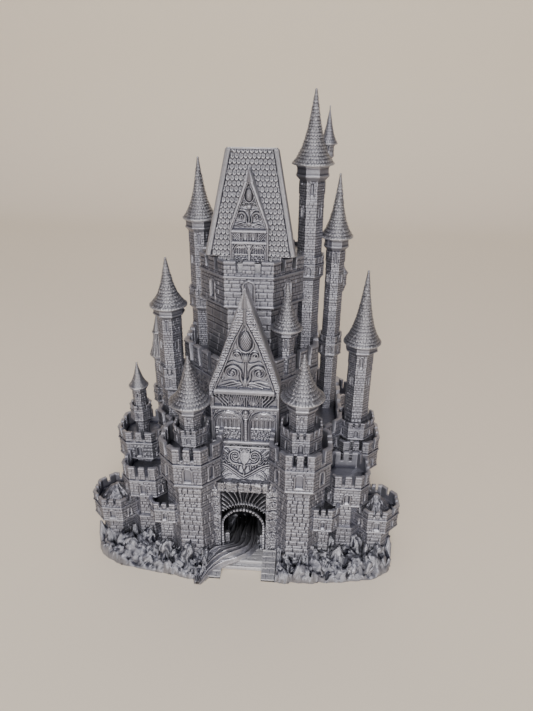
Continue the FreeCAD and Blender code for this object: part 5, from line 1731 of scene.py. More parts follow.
def dormer(name, y_face, side):
    """Gabled dormer on the keep roof that looks towards -Y (side -1) or +Y (side 1)."""
    z0, eave, z1, half = 170.4, 190.2, 218.6, 10.4
    res = pick(0.19)
    z = np.linspace(z0, z1, int((z1 - z0) / res))

    def outer(z):
        return half - np.maximum(10.0 * (z - eave) / (z1 - eave), 0)

    def field(x, z):
        ax = np.abs(x)
        h = -1.5 + (scrollwork(x, z - 189.3, 0.60, -1.5) + 1.5) * 1.25
        # raking edge
        share = np.clip((213.0 - z) / (213.0 - eave + 1.0), -0.3, 1)
        d = ax - np.where(z < eave - 1.0, 8.7, 8.7 * share)
        rake = np.where(d < 0.85, -0.5, 0.95)
        rake = np.where(d < 0.62, 0.95 * bead(d, 0.33, 0.36) + 0.1, rake)
        edge = outer(z) - ax
        rake = np.where(edge < 0.4, 0.45 + 0.5 * edge / 0.4, rake)
        h = np.where(d > 0, rake, h)
        strip = (ax < 8.8) & (z > 182.4) & (z < 187.2)
        h = np.where(strip, frieze(x, z, 8.6, 182.6, 187.0), h)
        # ledges, each over a groove
        for foot in (181.0, 187.1):
            ledge = 1.5 - 0.6 * np.clip((z - foot - 0.95) / 0.55, 0, 1)
            h = np.where((z > foot) & (z < foot + 1.5) & (ax < 9.3), ledge, h)
            groove = (z > foot - 0.45) & (z <= foot) & (ax < 9.3)
            h = np.where(groove, np.minimum(h, -1.2), h)
        # pair of blind windows
        r = Relief(x, z, -0.55)
        for centre in (-4.55, 4.55):
            lancets(r, centre, 3.7, 171.0, 174.6, 180.4, -1.2)
        r.ridge([(0, 171), (0, 178.2)], 0.0, 0.75, 0.9, flat=0.4)
        r.dome(0, 179.4, 1.4, 1.3, 0.9, 0.0)
        h = np.where((z < 180.9) & (ax < 8.8), r.h, h)
        h = np.where(z > 213.2, np.where(ax < outer(z) * 0.5, 1.3 - ax * 0.5, 0.5), h)
        return h + 0.025 * noise(x * 2, z * 2, 0, 4)

    def depth(x, z):
        # the back is buried in the roof slope
        slope = np.where(z < ROOF_Z0, 24.4, ROOF_HALF0 - 10.7 * (z - ROOF_Z0) / 54.8)
        return np.maximum(abs(y_face - KEEP_Y) - slope + 1.6, 1.0)

    width = np.maximum(0.4, outer(z))
    shell = Shell()
    slab(shell, z, -width, width, field, upright(y_face, side), depth, res)
    shell.build(name, "ornament")


# ------------------------------------------------------------------ gatehouse
def plain_box(shell, x0, x1, y0, y1, z0, z1, res, relief=None):
    """Box with eased edges; its sides are tagged SHAFT and its top FLOOR."""
    hx, hy = (x1 - x0) / 2, (y1 - y0) / 2
    ease = min(0.35, hx * 0.2, hy * 0.2)
    body = octagon(hx, hy, hx - ease, hy - ease)
    inset = octagon(hx - 0.25, hy - 0.25, hx - ease - 0.2, hy - ease - 0.2)
    profile = Profile().add(inset, z0)
    profile.step(body, z0 + 0.2, SHAFT)
    profile.to(body, z1 - 0.25, SHAFT, res=res)
    profile.step(inset, z1, FLOOR)
    profile.to(octagon(hx * 0.1, hy * 0.1, hx * 0.06, hy * 0.06), z1, FLOOR, res=max(res, 1.2))
    lathe(shell, (x0 + x1) / 2, (y0 + y1) / 2, profile, relief, res=res)


ARCH_R, ARCH_Z = 11.6, 22.8         # radius and springing of the gate arch
LANDING_Z = 5.3                     # level of the landing and of the passage floor
GATE_TOP, GATE_HALF = 58.0, 20.5
# bed joints of the rough pilasters beside the gate
PILASTER_BEDS = np.array([3.0, 8.8, 12.6, 17.6, 22.9, 27.4, 33.2, 39.6, 45.8, 49.6, 54.5, 60.0])


def gate_face(x_full, z):
    """Heights of the gatehouse front: folds, hood, pilasters and arch ring."""
    x = x_full - ORNAMENT_X * 0.6
    over = z - ARCH_Z
    dist = np.where(z > ARCH_Z, np.hypot(x_full, over), np.abs(x_full)) - ARCH_R
    # fan of folds over the arch
    fan_z = z - 27.5
    bend = 0.22 * np.sign(x) * ((np.hypot(x, fan_z) - 12) / 7) ** 2
    phase = ((np.arctan2(fan_z, x) - math.pi / 2) * 6.6 + bend) / 0.95
    wobble = 0.10 * noise(x_full * 0.25, z * 0.25, 2.0, 77)
    rib = 1 - np.abs(np.mod(phase + wobble, 1.0) - 0.5) * 2
    fine_rib = 1 - np.abs(np.mod(phase * 2 + 0.35 + wobble * 2, 1.0) - 0.5) * 2
    h = -3.9 + 4.0 * rib ** 2.2 + 1.0 * fine_rib ** 2.5
    # deep crescent between the arch ring and the fan
    hood = (np.hypot(x / 16.8, over / 15.2) - 1) * 15.0 + 0.6 * rib
    crescent = (hood < 0) & (dist > 1.3) & (z > 19)
    h = np.where(crescent, -6.0 + 0.5 * noise(x_full * 0.5, z * 0.5, 0, 9), h)
    h = np.where((hood >= 0) & (hood < 0.7) & (z > 28), np.maximum(h, -0.9), h)
    h = np.where((z <= 19) | ((z <= 27) & (hood >= 0)), -1.0, h)
    # pilasters of big rough stones
    right = (x_full > 0).astype(int)
    lo = np.where(right == 1, 13.4, 12.3)
    hi = np.where(right == 1, 20.6, 18.8)
    ax = np.abs(x_full)
    bed_z = z + 0.55 * np.sin(x_full * 0.9 + right) + right * 1.7
    k = np.searchsorted(PILASTER_BEDS, bed_z, side="right") - 1
    k = np.clip(k, 0, len(PILASTER_BEDS) - 2)
    to_bed = np.minimum(bed_z - PILASTER_BEDS[k], PILASTER_BEDS[k + 1] - bed_z)
    to_side = np.minimum(ax - lo, hi - ax) + 0.15
    rnd = random_at(k, right, 2, 17)
    stone = 3.3 + 1.1 * joint(np.minimum(to_bed, to_side), 0.7) + 0.7 * (rnd - 0.5)
    stone = stone + 0.95 * fbm(x_full * 0.33 + 9 * right, z * 0.33, k * 3.1, 3, 41)
    stone = stone + 0.55 * (0.5 - np.abs(noise(x_full * 0.7, z * 0.7, k, 45)))
    stone = stone + 0.25 * noise(x_full * 1.6, z * 1.6, k, 46)
    pilaster = (ax > lo) & (ax < hi) & (z < 52.0)
    h = np.where(pilaster, stone, np.where(ax >= hi, 0.2, h))
    h = np.where(z >= 52.0, -0.4, h)
    # arch ring and small jamb blocks
    ring_r = ARCH_R + 0.9
    arc = np.where(z > ARCH_Z, np.arctan2(over, x_full) * ring_r,
                   np.where(x_full > 0, over, math.pi * ring_r - over))
    k = np.floor(arc / 2.0)
    part = arc / 2.0 - k
    ring = 0.55 + 1.1 * joint(np.minimum(part, 1 - part) * 2.0, 0.42)
    ring = ring + 0.45 * (random_at(k, 1, 1, 23) - 0.5) - 0.35 * smooth((dist - 0.9) / 0.4)
    h = np.where(dist < 1.3, ring, h)
    return h + 0.08 * fbm(x_full * 1.2, z * 1.2, 0, 2, 51)


def gatehouse():
    shell = Shell()
    res = pick(0.27)
    rise = ARCH_Z - LANDING_Z
    n = int(rise / res)
    corner = math.atan2(GATE_TOP - ARCH_Z, GATE_HALF)
    theta = np.concatenate([
        np.linspace(math.pi, math.pi - corner, int(36 / res))[:-1],
        np.linspace(math.pi - corner, corner, int(41 / res))[:-1],
        np.linspace(corner, 0, int(36 / res))])
    cos, sin = np.cos(theta), np.sin(theta)
    to_top = np.where(sin > 1e-6, (GATE_TOP - ARCH_Z) / np.maximum(sin, 1e-6), 1e9)
    to_edge = np.minimum(GATE_HALF / np.maximum(np.abs(cos), 1e-6), to_top)

    def outline(half, reach):
        """Up the left side, over, and down the right side."""
        x = np.concatenate([np.full(n, -half), reach * cos, np.full(n, half)])
        z = np.concatenate([LANDING_Z + rise * np.arange(n) / n, ARCH_Z + reach * sin,
                            ARCH_Z - rise * np.arange(1, n + 1) / n])
        return x, z

    in_x, in_z = outline(ARCH_R, ARCH_R)
    out_x, out_z = outline(GATE_HALF, to_edge)
    q = np.linspace(0, 1, int(30 / res * 0.72) + 1)[:, None] ** 1.12
    x = in_x * (1 - q) + out_x * q
    z = in_z * (1 - q) + out_z * q
    front = np.stack([x, -50.0 - gate_face(x, z), z], axis=2)
    y_back = -30.0

    # soffit of the passage in jointed blocks, from the back to the front edge
    arched = in_z > ARCH_Z
    normal_x = np.where(arched, in_x, np.sign(in_x) * ARCH_R)
    normal_z = np.where(arched, in_z - ARCH_Z, 0.0)
    length = np.hypot(normal_x, normal_z)
    along = np.arange(len(in_x)) * res
    rows = []
    soffit_rows = int(20 / 0.8)
    for k in range(soffit_rows):
        y = y_back + (front[0, :, 1] - y_back) * k / soffit_rows
        stagger = 0.5 * (int(abs(np.mean(y)) / 2.6) % 2)
        off = 0.25 * joint(np.abs(np.mod(y / 2.6, 1.0) - 0.5) * 2, 0.25) * 0.6
        off = off + 0.22 * joint(np.abs(np.mod(along / 3.1 + stagger, 1.0) - 0.5) * 2, 0.2)
        rows.append(np.stack([in_x - normal_x / length * off, y,
                              in_z - normal_z / length * off], axis=1))
    rows.extend(front)
    # sides and top to the back, then the back face
    y = front[-1, :, 1]
    for k in range(1, 9):
        rows.append(np.stack([out_x, y + (y_back - y) * k / 8, out_z], axis=1))
    for k in range(1, 6):
        q = k / 6
        rows.append(np.stack([out_x * (1 - q) + in_x * q, np.full(len(in_x), y_back),
                              out_z * (1 - q) + in_z * q], axis=1))
    points = np.array(rows)
    ids = shell.grid(points, wrap_j=True)
    shell.caps(ids.T, points.swapaxes(0, 1), flip=True)

    # upper block behind the shield
    plain_box(shell, -20.4, 20.4, -40.2, -30.0, 57.6, 69.0, 1.6)
    # low brick piers at the inner faces of the jambs: x0, x1, y0, y1, top z
    masonry = Masonry(4.0, 15.0, 1.9, 9.0, 5, amp=0.3, bevel=0.3, rough=0.12)
    for x0, x1, y0, y1, top in ((-11.4, -8.5, -46.8, -43.6, 13.2),
                                (9.6, 11.9, -45.5, -42.5, 11.6)):
        plain_box(shell, x0, x1, y0, y1, 5.2, top, 0.4,
                  lambda skin: np.where(skin.tag == SHAFT, masonry(skin), 0.0))
    shell.build("gatehouse", "gate")


# ------------------------------------------------------------------ steps
def stair_section(res):
    """Points (y, z) over a flight of six worn treads, from front to back."""
    treads, tread, riser = 6, 2.9, 1.5
    path = [(-68.9, 0.12)]
    for i in range(treads):
        y, z = -69.0 + tread * i, riser * (i + 1)
        last = i == treads - 1
        path += [(y, z - 0.42), (y - 0.28, z - 0.34), (y - 0.32, z - 0.1), (y - 0.1, z)]
        path += [(y + 1.2, z - 0.05), (-53.5 if last else y + 2.5, z - 0.03)]
        if not last:
            path.append((y + 2.72, z + 0.1))
    path += [(-53.4, 8.6), (-53.38, 0.12)]
    section = []
    for (y0, z0), (y1, z1) in zip(path[:-1], path[1:]):
        n = max(1, int(math.hypot(y1 - y0, z1 - z0) / (res * 1.3)))
        section += [(y0 + (y1 - y0) * k / n, z0 + (z1 - z0) * k / n) for k in range(n)]
    return np.array(section + path[-1:])


def stair_flight(shell, side, x0, x1, res):
    section = stair_section(res)
    n = len(section)
    xs = np.linspace(x0, x1, int((x1 - x0) / res) + 1)
    points = np.zeros((len(xs), 2 * n, 3))
    points[..., 0] = xs[:, None]
    points[:, :n, 1:] = section
    points[:, n:, 1] = section[::-1, 0]
    x, y, z = np.moveaxis(points[:, :n].copy(), 2, 0)
    wear = 0.20 * fbm(x * 0.9, y * 0.9, z * 0.9, 2, 61 + side)
    step = np.floor(z / 1.5 + 0.3)
    joint_x = x0 + 3.9 + 2.0 * (random_at(step, side, 1, 9) - 0.5) * 2
    groove = 0.24 * (1 - smooth(np.abs(x - joint_x) / 0.3))
    upper = (z > 0.6) & (y < -53.6)
    points[:, :n, 2] -= np.where(upper, wear + groove, 0)
    points[:, :n, 1] -= np.where(upper, wear, 0)
    ids = shell.grid(points, wrap_i=True, flip=True)
    # end walls, in upright strips between the treads and the ground
    k = np.arange(n - 1)
    u = k / (n - 1.0)
    uv = uv_quads(u, (k + 1) / (n - 1.0), np.ones(n - 1), np.zeros(n - 1))
    for ring, flip in ((ids[0], False), (ids[-1], True)):
        strips = np.stack([ring[k], ring[k + 1], ring[2 * n - 2 - k], ring[2 * n - 1 - k]],
                          axis=1)
        shell.add_faces(strips, uv, 16.0, 9.0, flip)


def paving(skin):
    x, y, z = skin.x, skin.y, skin.z
    length, width, course = 4.2, 3.1, 2.65
    row = np.floor(y / width)
    place = x / length + 0.5 * np.mod(row, 2)
    part_x, part_y = place - np.floor(place), y / width - row
    d = np.minimum(np.minimum(part_x, 1 - part_x) * length,
                   np.minimum(part_y, 1 - part_y) * width)
    top = 0.3 * joint(d, 0.35) + 0.18 * (random_at(np.floor(place), row, 1, 5) - 0.5)
    bed = np.mod(z, course)
    side = 0.28 * joint(np.minimum(bed, course - bed), 0.35)
    return np.where(skin.tag == FLOOR, top, side) + 0.08 * fbm(x * 1.2, y * 1.2, z, 2, 71)


def stairs():
    """Two flights with a paved landing and a low tread between them."""
    shell = Shell()
    res = pick(0.28)
    for side, (x0, x1) in enumerate(((-19.2, -11.4), (12.2, 20.0))):
        stair_flight(shell, side, x0, x1, res)
    plain_box(shell, -12.0, 12.6, -60.0, -49.8, 0.0, LANDING_Z, 0.5, paving)
    plain_box(shell, -11.9, 12.5, -62.2, -59.4, 0.0, 2.7, 0.5, paving)
    shell.build("entrance_steps", "steps")


# ------------------------------------------------------------------ runner and ramp
# share of the way, left edge x and y, right edge x and y, top z, underside z
RUNNER = np.array([
    (0.00, -7.4, -24.0, 6.6, -24.0, 7.6, 5.3),
    (0.12, -7.4, -31.0, 7.0, -31.0, 7.9, 5.3),
    (0.25, -7.6, -38.0, 7.6, -38.0, 8.2, 5.3),
    (0.38, -8.6, -45.5, 8.2, -45.0, 8.6, 5.3),
    (0.46, -10.6, -50.0, 8.3, -51.0, 9.2, 5.3),
    (0.54, -14.4, -52.6, 4.8, -56.6, 10.3, 5.3),
    (0.62, -18.6, -54.0, -1.6, -60.4, 10.9, 4.6),
    (0.70, -22.4, -56.2, -7.6, -62.2, 9.9, 3.2),
    (0.78, -24.9, -60.0, -12.6, -64.6, 8.0, 1.4),
    (0.86, -26.3, -65.6, -17.0, -68.2, 6.0, 0.02),
    (0.93, -26.9, -70.6, -19.6, -71.6, 4.6, 0.02),
    (1.00, -25.7, -74.4, -22.0, -74.6, 3.1, 0.02),
])
# place across the cloth (-1 to 1), width and height of each long fold
FOLDS = ((-0.80, 0.13, 1.0), (-0.47, 0.11, 1.3), (-0.12, 0.13, 1.1), (0.22, 0.11, 1.35),
         (0.54, 0.12, 1.0), (0.82, 0.10, 0.8))


def runner():
    """Cloth from the foot of the ramp over the landing, turning down to the left."""
    rows, cols = pick(190), pick(150)
    u = np.linspace(0, 1, rows)

    def eased(values):
        """Interpolated stations, smoothed by a nine-point mean."""
        line = np.interp(u, RUNNER[:, 0], values)
        padded = np.concatenate([line[0] + (line[0] - line[4:0:-1]), line,
                                 line[-1] + (line[-1] - line[-2:-6:-1])])
        return np.convolve(padded, np.ones(9) / 9, "valid")[:, None]

    left_x, left_y, right_x, right_y, top_z, low_z = map(eased, RUNNER.T[1:])
    u, v = np.meshgrid(u, np.linspace(-1, 1, cols), indexing="ij")
    q = (v + 1) / 2
    x = left_x * (1 - q) + right_x * q
    y = left_y * (1 - q) + right_y * q
    edge = (1 - np.abs(v) ** 5) ** 0.5
    # the long folds wander and gather at the tip
    wander = 0.13 * np.sin(u * 8.0 + 0.6) + 0.08 * np.sin(u * 19.0 + v * 2.0)
    fold = 0.0
    for centre, width, height in FOLDS:
        line = centre + wander * (1 - abs(centre)) + 0.05 * np.sin(u * 11 + centre * 9)
        fold = np.maximum(fold, height * np.exp(-((v - line) / width) ** 2))
    amp = np.interp(u, [0, 0.3, 0.5, 0.62, 0.8, 1], [2.6, 2.9, 2.5, 2.4, 2.2, 1.3])
    body = np.maximum(top_z - 1.6 - low_z, 0.25)
    # the right side hangs lower
    droop = np.interp(u, [0, 0.4, 0.6, 1], [0.4, 0.6, 1.4, 0.5])
    lean = 1.0 - 0.22 * smooth((v - 0.1) / 0.9) * droop
    z = low_z + body * edge * lean + amp * (fold - 0.45) * edge
    crease = np.exp(-(noise(v * 2.2 + u * 1.5, u * 5.0, 3.0, 91) / 0.09) ** 2)
    z = z - 0.55 * crease * edge * smooth((u - 0.1) / 0.1)
    z = z + 0.10 * fbm(x * 0.5, y * 0.5, 0, 2, 81)
    z = np.maximum(z, low_z + 0.15 * edge + 0.01)
    # swing the fold tops sideways a little
    width = np.hypot(right_x - left_x, right_y - left_y)
    sway = 0.35 * np.sin(fold * 2.4 + u * 5) * edge
    top = np.stack([x + (right_x - left_x) / width * sway,
                    y + (right_y - left_y) / width * sway, z], axis=2)
    q = np.linspace(1, 0, cols // 5 + 2)[1:-1][None, :]
    x = left_x * (1 - q) + right_x * q
    y = left_y * (1 - q) + right_y * q
    bottom = np.stack([x, y, np.broadcast_to(low_z, x.shape)], axis=2)
    shell = Shell()
    shell.tube(np.concatenate([top, bottom], axis=1), flip=True)
    shell.build("draped_runner", "runner")


def ramp():
    """Ramp inside the castle, its surface in long folds that run down to the runner."""
    half, rows, cols = 13.85, 120, 70
    y = np.linspace(39.9, -24.0, rows)
    # slope of the ramp from back to front: -y, z
    z = np.interp(-y, [-40.0, -34.0, -14.0, 6.0, 24.0], [46.0, 40.0, 19.5, 9.6, 6.3])
    padded = np.concatenate([np.full(3, z[0]), z, np.full(3, z[-1])])
    z = np.convolve(padded, np.ones(7) / 7, "valid")
    grid_y, grid_x = np.meshgrid(y, np.linspace(-half, half, cols), indexing="ij")
    wander = 1.1 * np.sin(grid_y * 0.13 + 0.5) + 0.7 * np.sin(grid_y * 0.31 + grid_x * 0.2)
    fold = np.abs(np.sin((grid_x + wander) * 0.56 + 0.4)) ** 1.5
    grid_z = z[:, None] - 0.9 + 2.0 * fold * smooth((half - np.abs(grid_x)) / 1.2)
    grid_z[-1] = 6.0
    top = np.stack([grid_x, grid_y, grid_z], axis=2)
    low_y, low_x = np.meshgrid(y, np.linspace(1, -1, 14)[1:-1] * half, indexing="ij")
    bottom = np.stack([low_x, low_y, np.full_like(low_x, LANDING_Z)], axis=2)
    shell = Shell()
    shell.tube(np.concatenate([top, bottom], axis=1), flip=True)
    # painted shade: the ramp gets the near-black inside copy
    shell.build("exit_ramp", "inside")


def paint_shade_on_baffles():
    # painted shade: the baffles get the near-black inside copy of the silver
    for name in ("baffle_upper", "baffle_middle", "baffle_lower"):
        # guards against a frame without a table of nodes, or without this piece
        baffle = frame["nodes"].get(name) if isinstance(frame, dict) else None
        if baffle is not None and getattr(baffle, "data", None) is not None:
            baffle.data.materials.clear()
            baffle.data.materials.append(MATERIALS["inside"])


# ------------------------------------------------------------------ rock base
ROCK_Y = -5.0                   # centre of the outline
# corner points (x, y) of the crag, clockwise from the left of the gate
ROCK_OUTLINE = np.array([
    (-21.0, -72.0), (-34.0, -71.0), (-46.0, -68.4), (-60.0, -66.5), (-75.0, -63.5),
    (-86.0, -56.0), (-91.5, -46.0), (-90.5, -30.0), (-84.0, -18.0), (-80.0, -4.0),
    (-82.0, 14.0), (-79.0, 34.0), (-76.0, 50.0), (-66.0, 60.0), (-50.0, 64.5),
    (-20.0, 63.5), (10.0, 64.8), (40.0, 63.5), (58.0, 63.8), (72.0, 56.0), (80.0, 42.0),
    (84.0, 22.0), (90.0, 6.0), (91.5, -12.0), (88.0, -28.0), (91.0, -44.0), (88.0, -55.0),
    (80.0, -61.5), (66.0, -65.0), (46.0, -67.6), (34.0, -70.0), (21.0, -70.0)])


class Crag:
    """Height of the rock over the plan. Every draw comes from one random stream."""
    ring = 72.0                 # radius that turns an angle into a length round the skirt

    def __init__(self, rng):
        angle = np.arctan2(ROCK_OUTLINE[:, 1] - ROCK_Y, ROCK_OUTLINE[:, 0])
        radius = np.hypot(ROCK_OUTLINE[:, 0], ROCK_OUTLINE[:, 1] - ROCK_Y)
        order = np.argsort(angle)
        angle, radius = angle[order], radius[order]
        self.angles = np.concatenate([angle - 2 * math.pi, angle, angle + 2 * math.pi])
        self.radii = np.concatenate([radius] * 3)
        self.draw_spikes(rng)
        self.draw_blocks(rng)

    def radius(self, t):
        return np.interp(t, self.angles, self.radii)

    def rim_wave(self, t):
        x, y = np.cos(t) * 9.0, np.sin(t) * 9.0
        return 1.7 * fbm(x, y, 3.0, 4, 5) + 0.9 * np.abs(noise(x * 2.4, y * 2.4, 1.0, 6)) - 1.2

    def draw_spikes(self, rng):
        """Faceted peaks: x, y, height, facet directions, facet slopes and top tilt."""
        spikes = []             # x, y, height, radius
        for name, (x, y, half, *_) in BASTIONS.items():
            height = 17.5 if name.startswith("outer") else 10.5
            height = 14.5 if name.startswith("middle") else height
            for k in range(9):
                a = 2 * math.pi * (k + rng.uniform(-0.3, 0.3)) / 9
                d = half * rng.uniform(0.95, 1.5)
                spikes.append((x + d * math.cos(a), y + d * math.sin(a),
                               height + rng.uniform(-3, 5.5), rng.uniform(3.2, 5.6)))
        for x, _ in GATE_TOWERS.values():
            for k in range(12):
                a = math.pi * (1 + (k + 0.5) / 12) + rng.uniform(-0.1, 0.1)
                spikes.append((x + 16.5 * math.cos(a), GATE_TOWER_Y + 16.5 * math.sin(a),
                               rng.uniform(10.0, 15.5), rng.uniform(2.6, 4.4)))
        for k in range(150):
            t = rng.uniform(-math.pi, math.pi)
            d = self.radius(t) * rng.uniform(0.74, 0.93)
            spikes.append((d * math.cos(t), d * math.sin(t) + ROCK_Y,
                           rng.uniform(4.0, 13.0), rng.uniform(3.5, 7.5)))
        self.spikes = []
        for x, y, height, radius in spikes:
            if abs(x) < 24 and y < -46:
                continue        # keeps the gate clear
            n = rng.randint(4, 7)
            turn = rng.uniform(0, 2 * math.pi)
            turn = turn + np.arange(n) * 2 * math.pi / n + rng.uniform(-0.3, 0.3, n)
            slope = rng.uniform(0.75, 1.9, n) * height / radius
            tilt = rng.uniform(-0.25, 0.25), rng.uniform(-0.25, 0.25)
            self.spikes.append((x, y, height, np.cos(turn), np.sin(turn), slope, tilt))

    def draw_blocks(self, rng):
        """Upright blocks close together round the skirt, each with its own leaning top."""
        spacing, tries, depth = 3.6, 900, 27.0
        around = 2 * math.pi * self.ring
        seeds = []              # length round the skirt, distance in from the rim
        for k in range(tries):
            t = rng.uniform(-math.pi, math.pi)
            inward = rng.uniform(-1.0, depth)
            s = t * self.ring
            if all(min(abs(s - q[0]), around - abs(s - q[0])) > spacing * 0.75
                   or abs(inward - q[1]) > spacing * 1.25 for q in seeds):
                seeds.append((s, inward))
        self.seeds = np.array(seeds)
        n = len(seeds)
        self.block_height = rng.uniform(0.62, 1.38, n)
        self.lean_in = rng.uniform(0.35, 2.1, n)
        self.lean_side = rng.uniform(-1.0, 1.0, n)
        self.broad = rng.uniform(0, 1, n) < 0.12

    def block_tops(self, s, inward):
        """Height of the nearest block, with a cleft between neighbours."""
        seeds, around = self.seeds, 2 * math.pi * self.ring
        ds = s[:, None] - seeds[None, :, 0]
        ds = ds - around * np.round(ds / around)
        dr = inward[:, None] - seeds[None, :, 1]
        q = ds ** 2 + (dr / 1.7) ** 2 - np.where(self.broad, 6.0, 0.0)[None, :]
        nearest = np.argpartition(q, 2, axis=1)[:, :2]
        row = np.arange(len(s))
        q0, q1 = q[row, nearest[:, 0]], q[row, nearest[:, 1]]
        own = np.where(q1 < q0, nearest[:, 1], nearest[:, 0])
        f1, f2 = np.minimum(q0, q1), np.maximum(q0, q1)
        cleft = (f2 - f1) / (np.sqrt(np.maximum(f2, 0.1)) + np.sqrt(np.maximum(f1, 0.1)) + 0.3)
        seed_in = seeds[own, 1]
        top = 3.4 + 6.2 * smooth((seed_in + 0.5) / 7.0) + 2.2 * smooth((seed_in - 8) / 8)
        top = top * self.block_height[own]
        dr, ds = dr[row, own], ds[row, own]
        h = (top + self.lean_in[own] * np.clip(dr, -4, 2.5)
             + self.lean_side[own] * np.clip(ds, -2.5, 2.5))
        h = np.where(self.broad[own], top * 0.9 + 0.5 * np.clip(dr, -6, 3) - 0.05 * f1, h)
        return h - 3.4 * np.exp(-(cleft / 0.55) ** 2)

    def height(self, x, y):
        t = np.arctan2(y - ROCK_Y, x)
        inward = self.radius(t) + self.rim_wave(t) - np.hypot(x, y - ROCK_Y)
        s = (t * self.ring + 0.9 * noise(x * 0.3, y * 0.3, 1.0, 61)).ravel()
        d = (inward + 0.9 * noise(x * 0.3, y * 0.3, 6.0, 62)).ravel()
        chunk = 6000            # bounds the memory of the distance table
        h = np.concatenate([self.block_tops(s[k:k + chunk], d[k:k + chunk])
                            for k in range(0, s.size, chunk)]).reshape(x.shape)
        best = np.full_like(x, -1e9)
        for px, py, peak, cos, sin, slope, (tilt_x, tilt_y) in self.spikes:
            near = (np.abs(x - px) < 10) & (np.abs(y - py) < 10)
            if not near.any():
                continue
            dx, dy = x[near] - px, y[near] - py
            fall = np.maximum(dx[..., None] * cos + dy[..., None] * sin, 0) * slope
            e = ((peak + tilt_x * dx + tilt_y * dy)[..., None] - fall).min(axis=-1)
            e = e + 0.9 * noise(dx * 0.6 + px, dy * 0.6 + py, e * 0.3, 19)
            best[near] = np.maximum(best[near], e)
        rim = smooth((inward + 0.6) / 2.4)
        h = np.maximum(h, np.where(inward > 0.3, best * rim, -1e9))
        h = h + 1.1 * fbm(x * 0.35, y * 0.35, 0.0, 3, 23)
        h = h + 0.9 * (0.35 - np.abs(noise(x * 0.62, y * 0.62, 2.0, 25)))
        h = h + 0.5 * noise(x * 1.2, y * 1.2, 0, 24)
        h = np.maximum(h, 0.4)
        # level under the castle and clear of the gate
        under = smooth((50.0 - np.abs(x)) / 3) * smooth((y + 26) / 3) * smooth((50 - y) / 3)
        h = h * (1 - under) + 9.0 * under
        behind = y >= -49.6
        seat = (np.abs(x) < 20.6) & behind & (y < -26)
        tunnel = (np.abs(x) < 14.4) & behind & (y < 41)
        h = np.where(seat | tunnel, np.minimum(h, 5.25), h)
        off = np.abs(x - 0.5) - 19.75
        h = np.where(behind, h, np.where(off < 0, 0.0, h * smooth(off / 0.5)))
        h = np.where(inward <= 0.0, 0.0, h)
        return np.maximum(h, 0.0)


def crag_surface(crag, res):
    """Polar grid of the rock's top, and where it lies on the ground."""
    cols = int(2 * math.pi * 78 / res)
    theta = np.linspace(-math.pi, math.pi, cols + 1)[:-1]
    rim = crag.radius(theta) + crag.rim_wave(theta)
    inner_r, coarse = 2.0, 0.46         # rows are wide inside the coarse share
    q = np.concatenate([np.linspace(0, coarse, 7)[:-1],
                        np.linspace(coarse, 1.0, int(44 / res))])
    r = inner_r + (rim[None, :] - inner_r) * q[:, None]
    x = r * np.cos(theta)[None, :]
    y = r * np.sin(theta)[None, :] + ROCK_Y
    h = crag.height(x, y)
    h[-1] = 0.0
    # where two raised cells meet along ground level, lift the shared edge a little
    for _ in range(12):
        ground = h <= 1e-6
        row_edge = ground & np.roll(ground, -1, axis=1)
        cell = ~row_edge[:-1] | ~row_edge[1:]
        bad = np.zeros_like(ground)
        bad[1:-1] |= row_edge[1:-1] & cell[:-1] & cell[1:]
        bad[:-1] |= ground[:-1] & ground[1:] & cell & np.roll(cell, 1, axis=1)
        if not bad.any():
            break
        h[bad] = 0.06
    ground = h <= 1e-6

    def keep_inside(points):
        points[..., 0] = np.clip(points[..., 0], -92.0, 92.0)
        points[..., 1] = np.clip(points[..., 1], -74.5, 65.0)

    # break the cliff faces up sideways
    on = np.where((np.abs(x) < 22.5) & (y < -40), 0.0, smooth(h / 3.0))
    shifts = []
    for k, lift in ((0, 0), (1, 9)):
        shift = 1.1 * noise(x * 0.3, y * 0.3, h * 0.5 + lift, 33 + k)
        shift = shift + 0.75 * noise(x * 0.7, y * 0.7, h * 1.1 + 5 * k, 35 + k)
        shifts.append(shift * on)
    top = np.stack([x + shifts[0], y + shifts[1], h], axis=2)
    keep_inside(top)
    # weathering along the surface normal: ridges, upright striations and narrow cracks
    du = np.roll(top, -1, axis=1) - np.roll(top, 1, axis=1)
    normals = np.cross(du, np.gradient(top, axis=0))
    normals /= np.maximum(np.linalg.norm(normals, axis=2, keepdims=True), 1e-9)
    normals *= np.where(normals[..., 2:3] < 0, -1.0, 1.0)
    x, y, z = np.moveaxis(top, 2, 0)
    wear = 0.55 * (0.45 - 2.0 * np.abs(noise(x * 0.42, y * 0.42, z * 0.42, 71)))
    wear = wear + 0.42 * noise(x * 0.95, y * 0.95, z * 0.28, 72)
    wear = wear + 0.22 * noise(x * 1.7, y * 1.7, z * 1.1, 73)
    crack = noise(x * 0.16, y * 0.16, z * 0.10 + 4.0, 74) / 0.035
    wear = wear - 1.0 * np.exp(-crack ** 2)
    crack = noise(x * 0.27 + 8.0, y * 0.27, z * 0.20, 75) / 0.04
    wear = wear - 0.6 * np.exp(-crack ** 2)
    wear = wear * smooth((h - 0.5) / 1.4)
    top = top + normals * wear[..., None]
    keep_inside(top)
    top[..., 2] = np.where(ground, 0.0, np.maximum(top[..., 2], 0.02))
    return top, ground


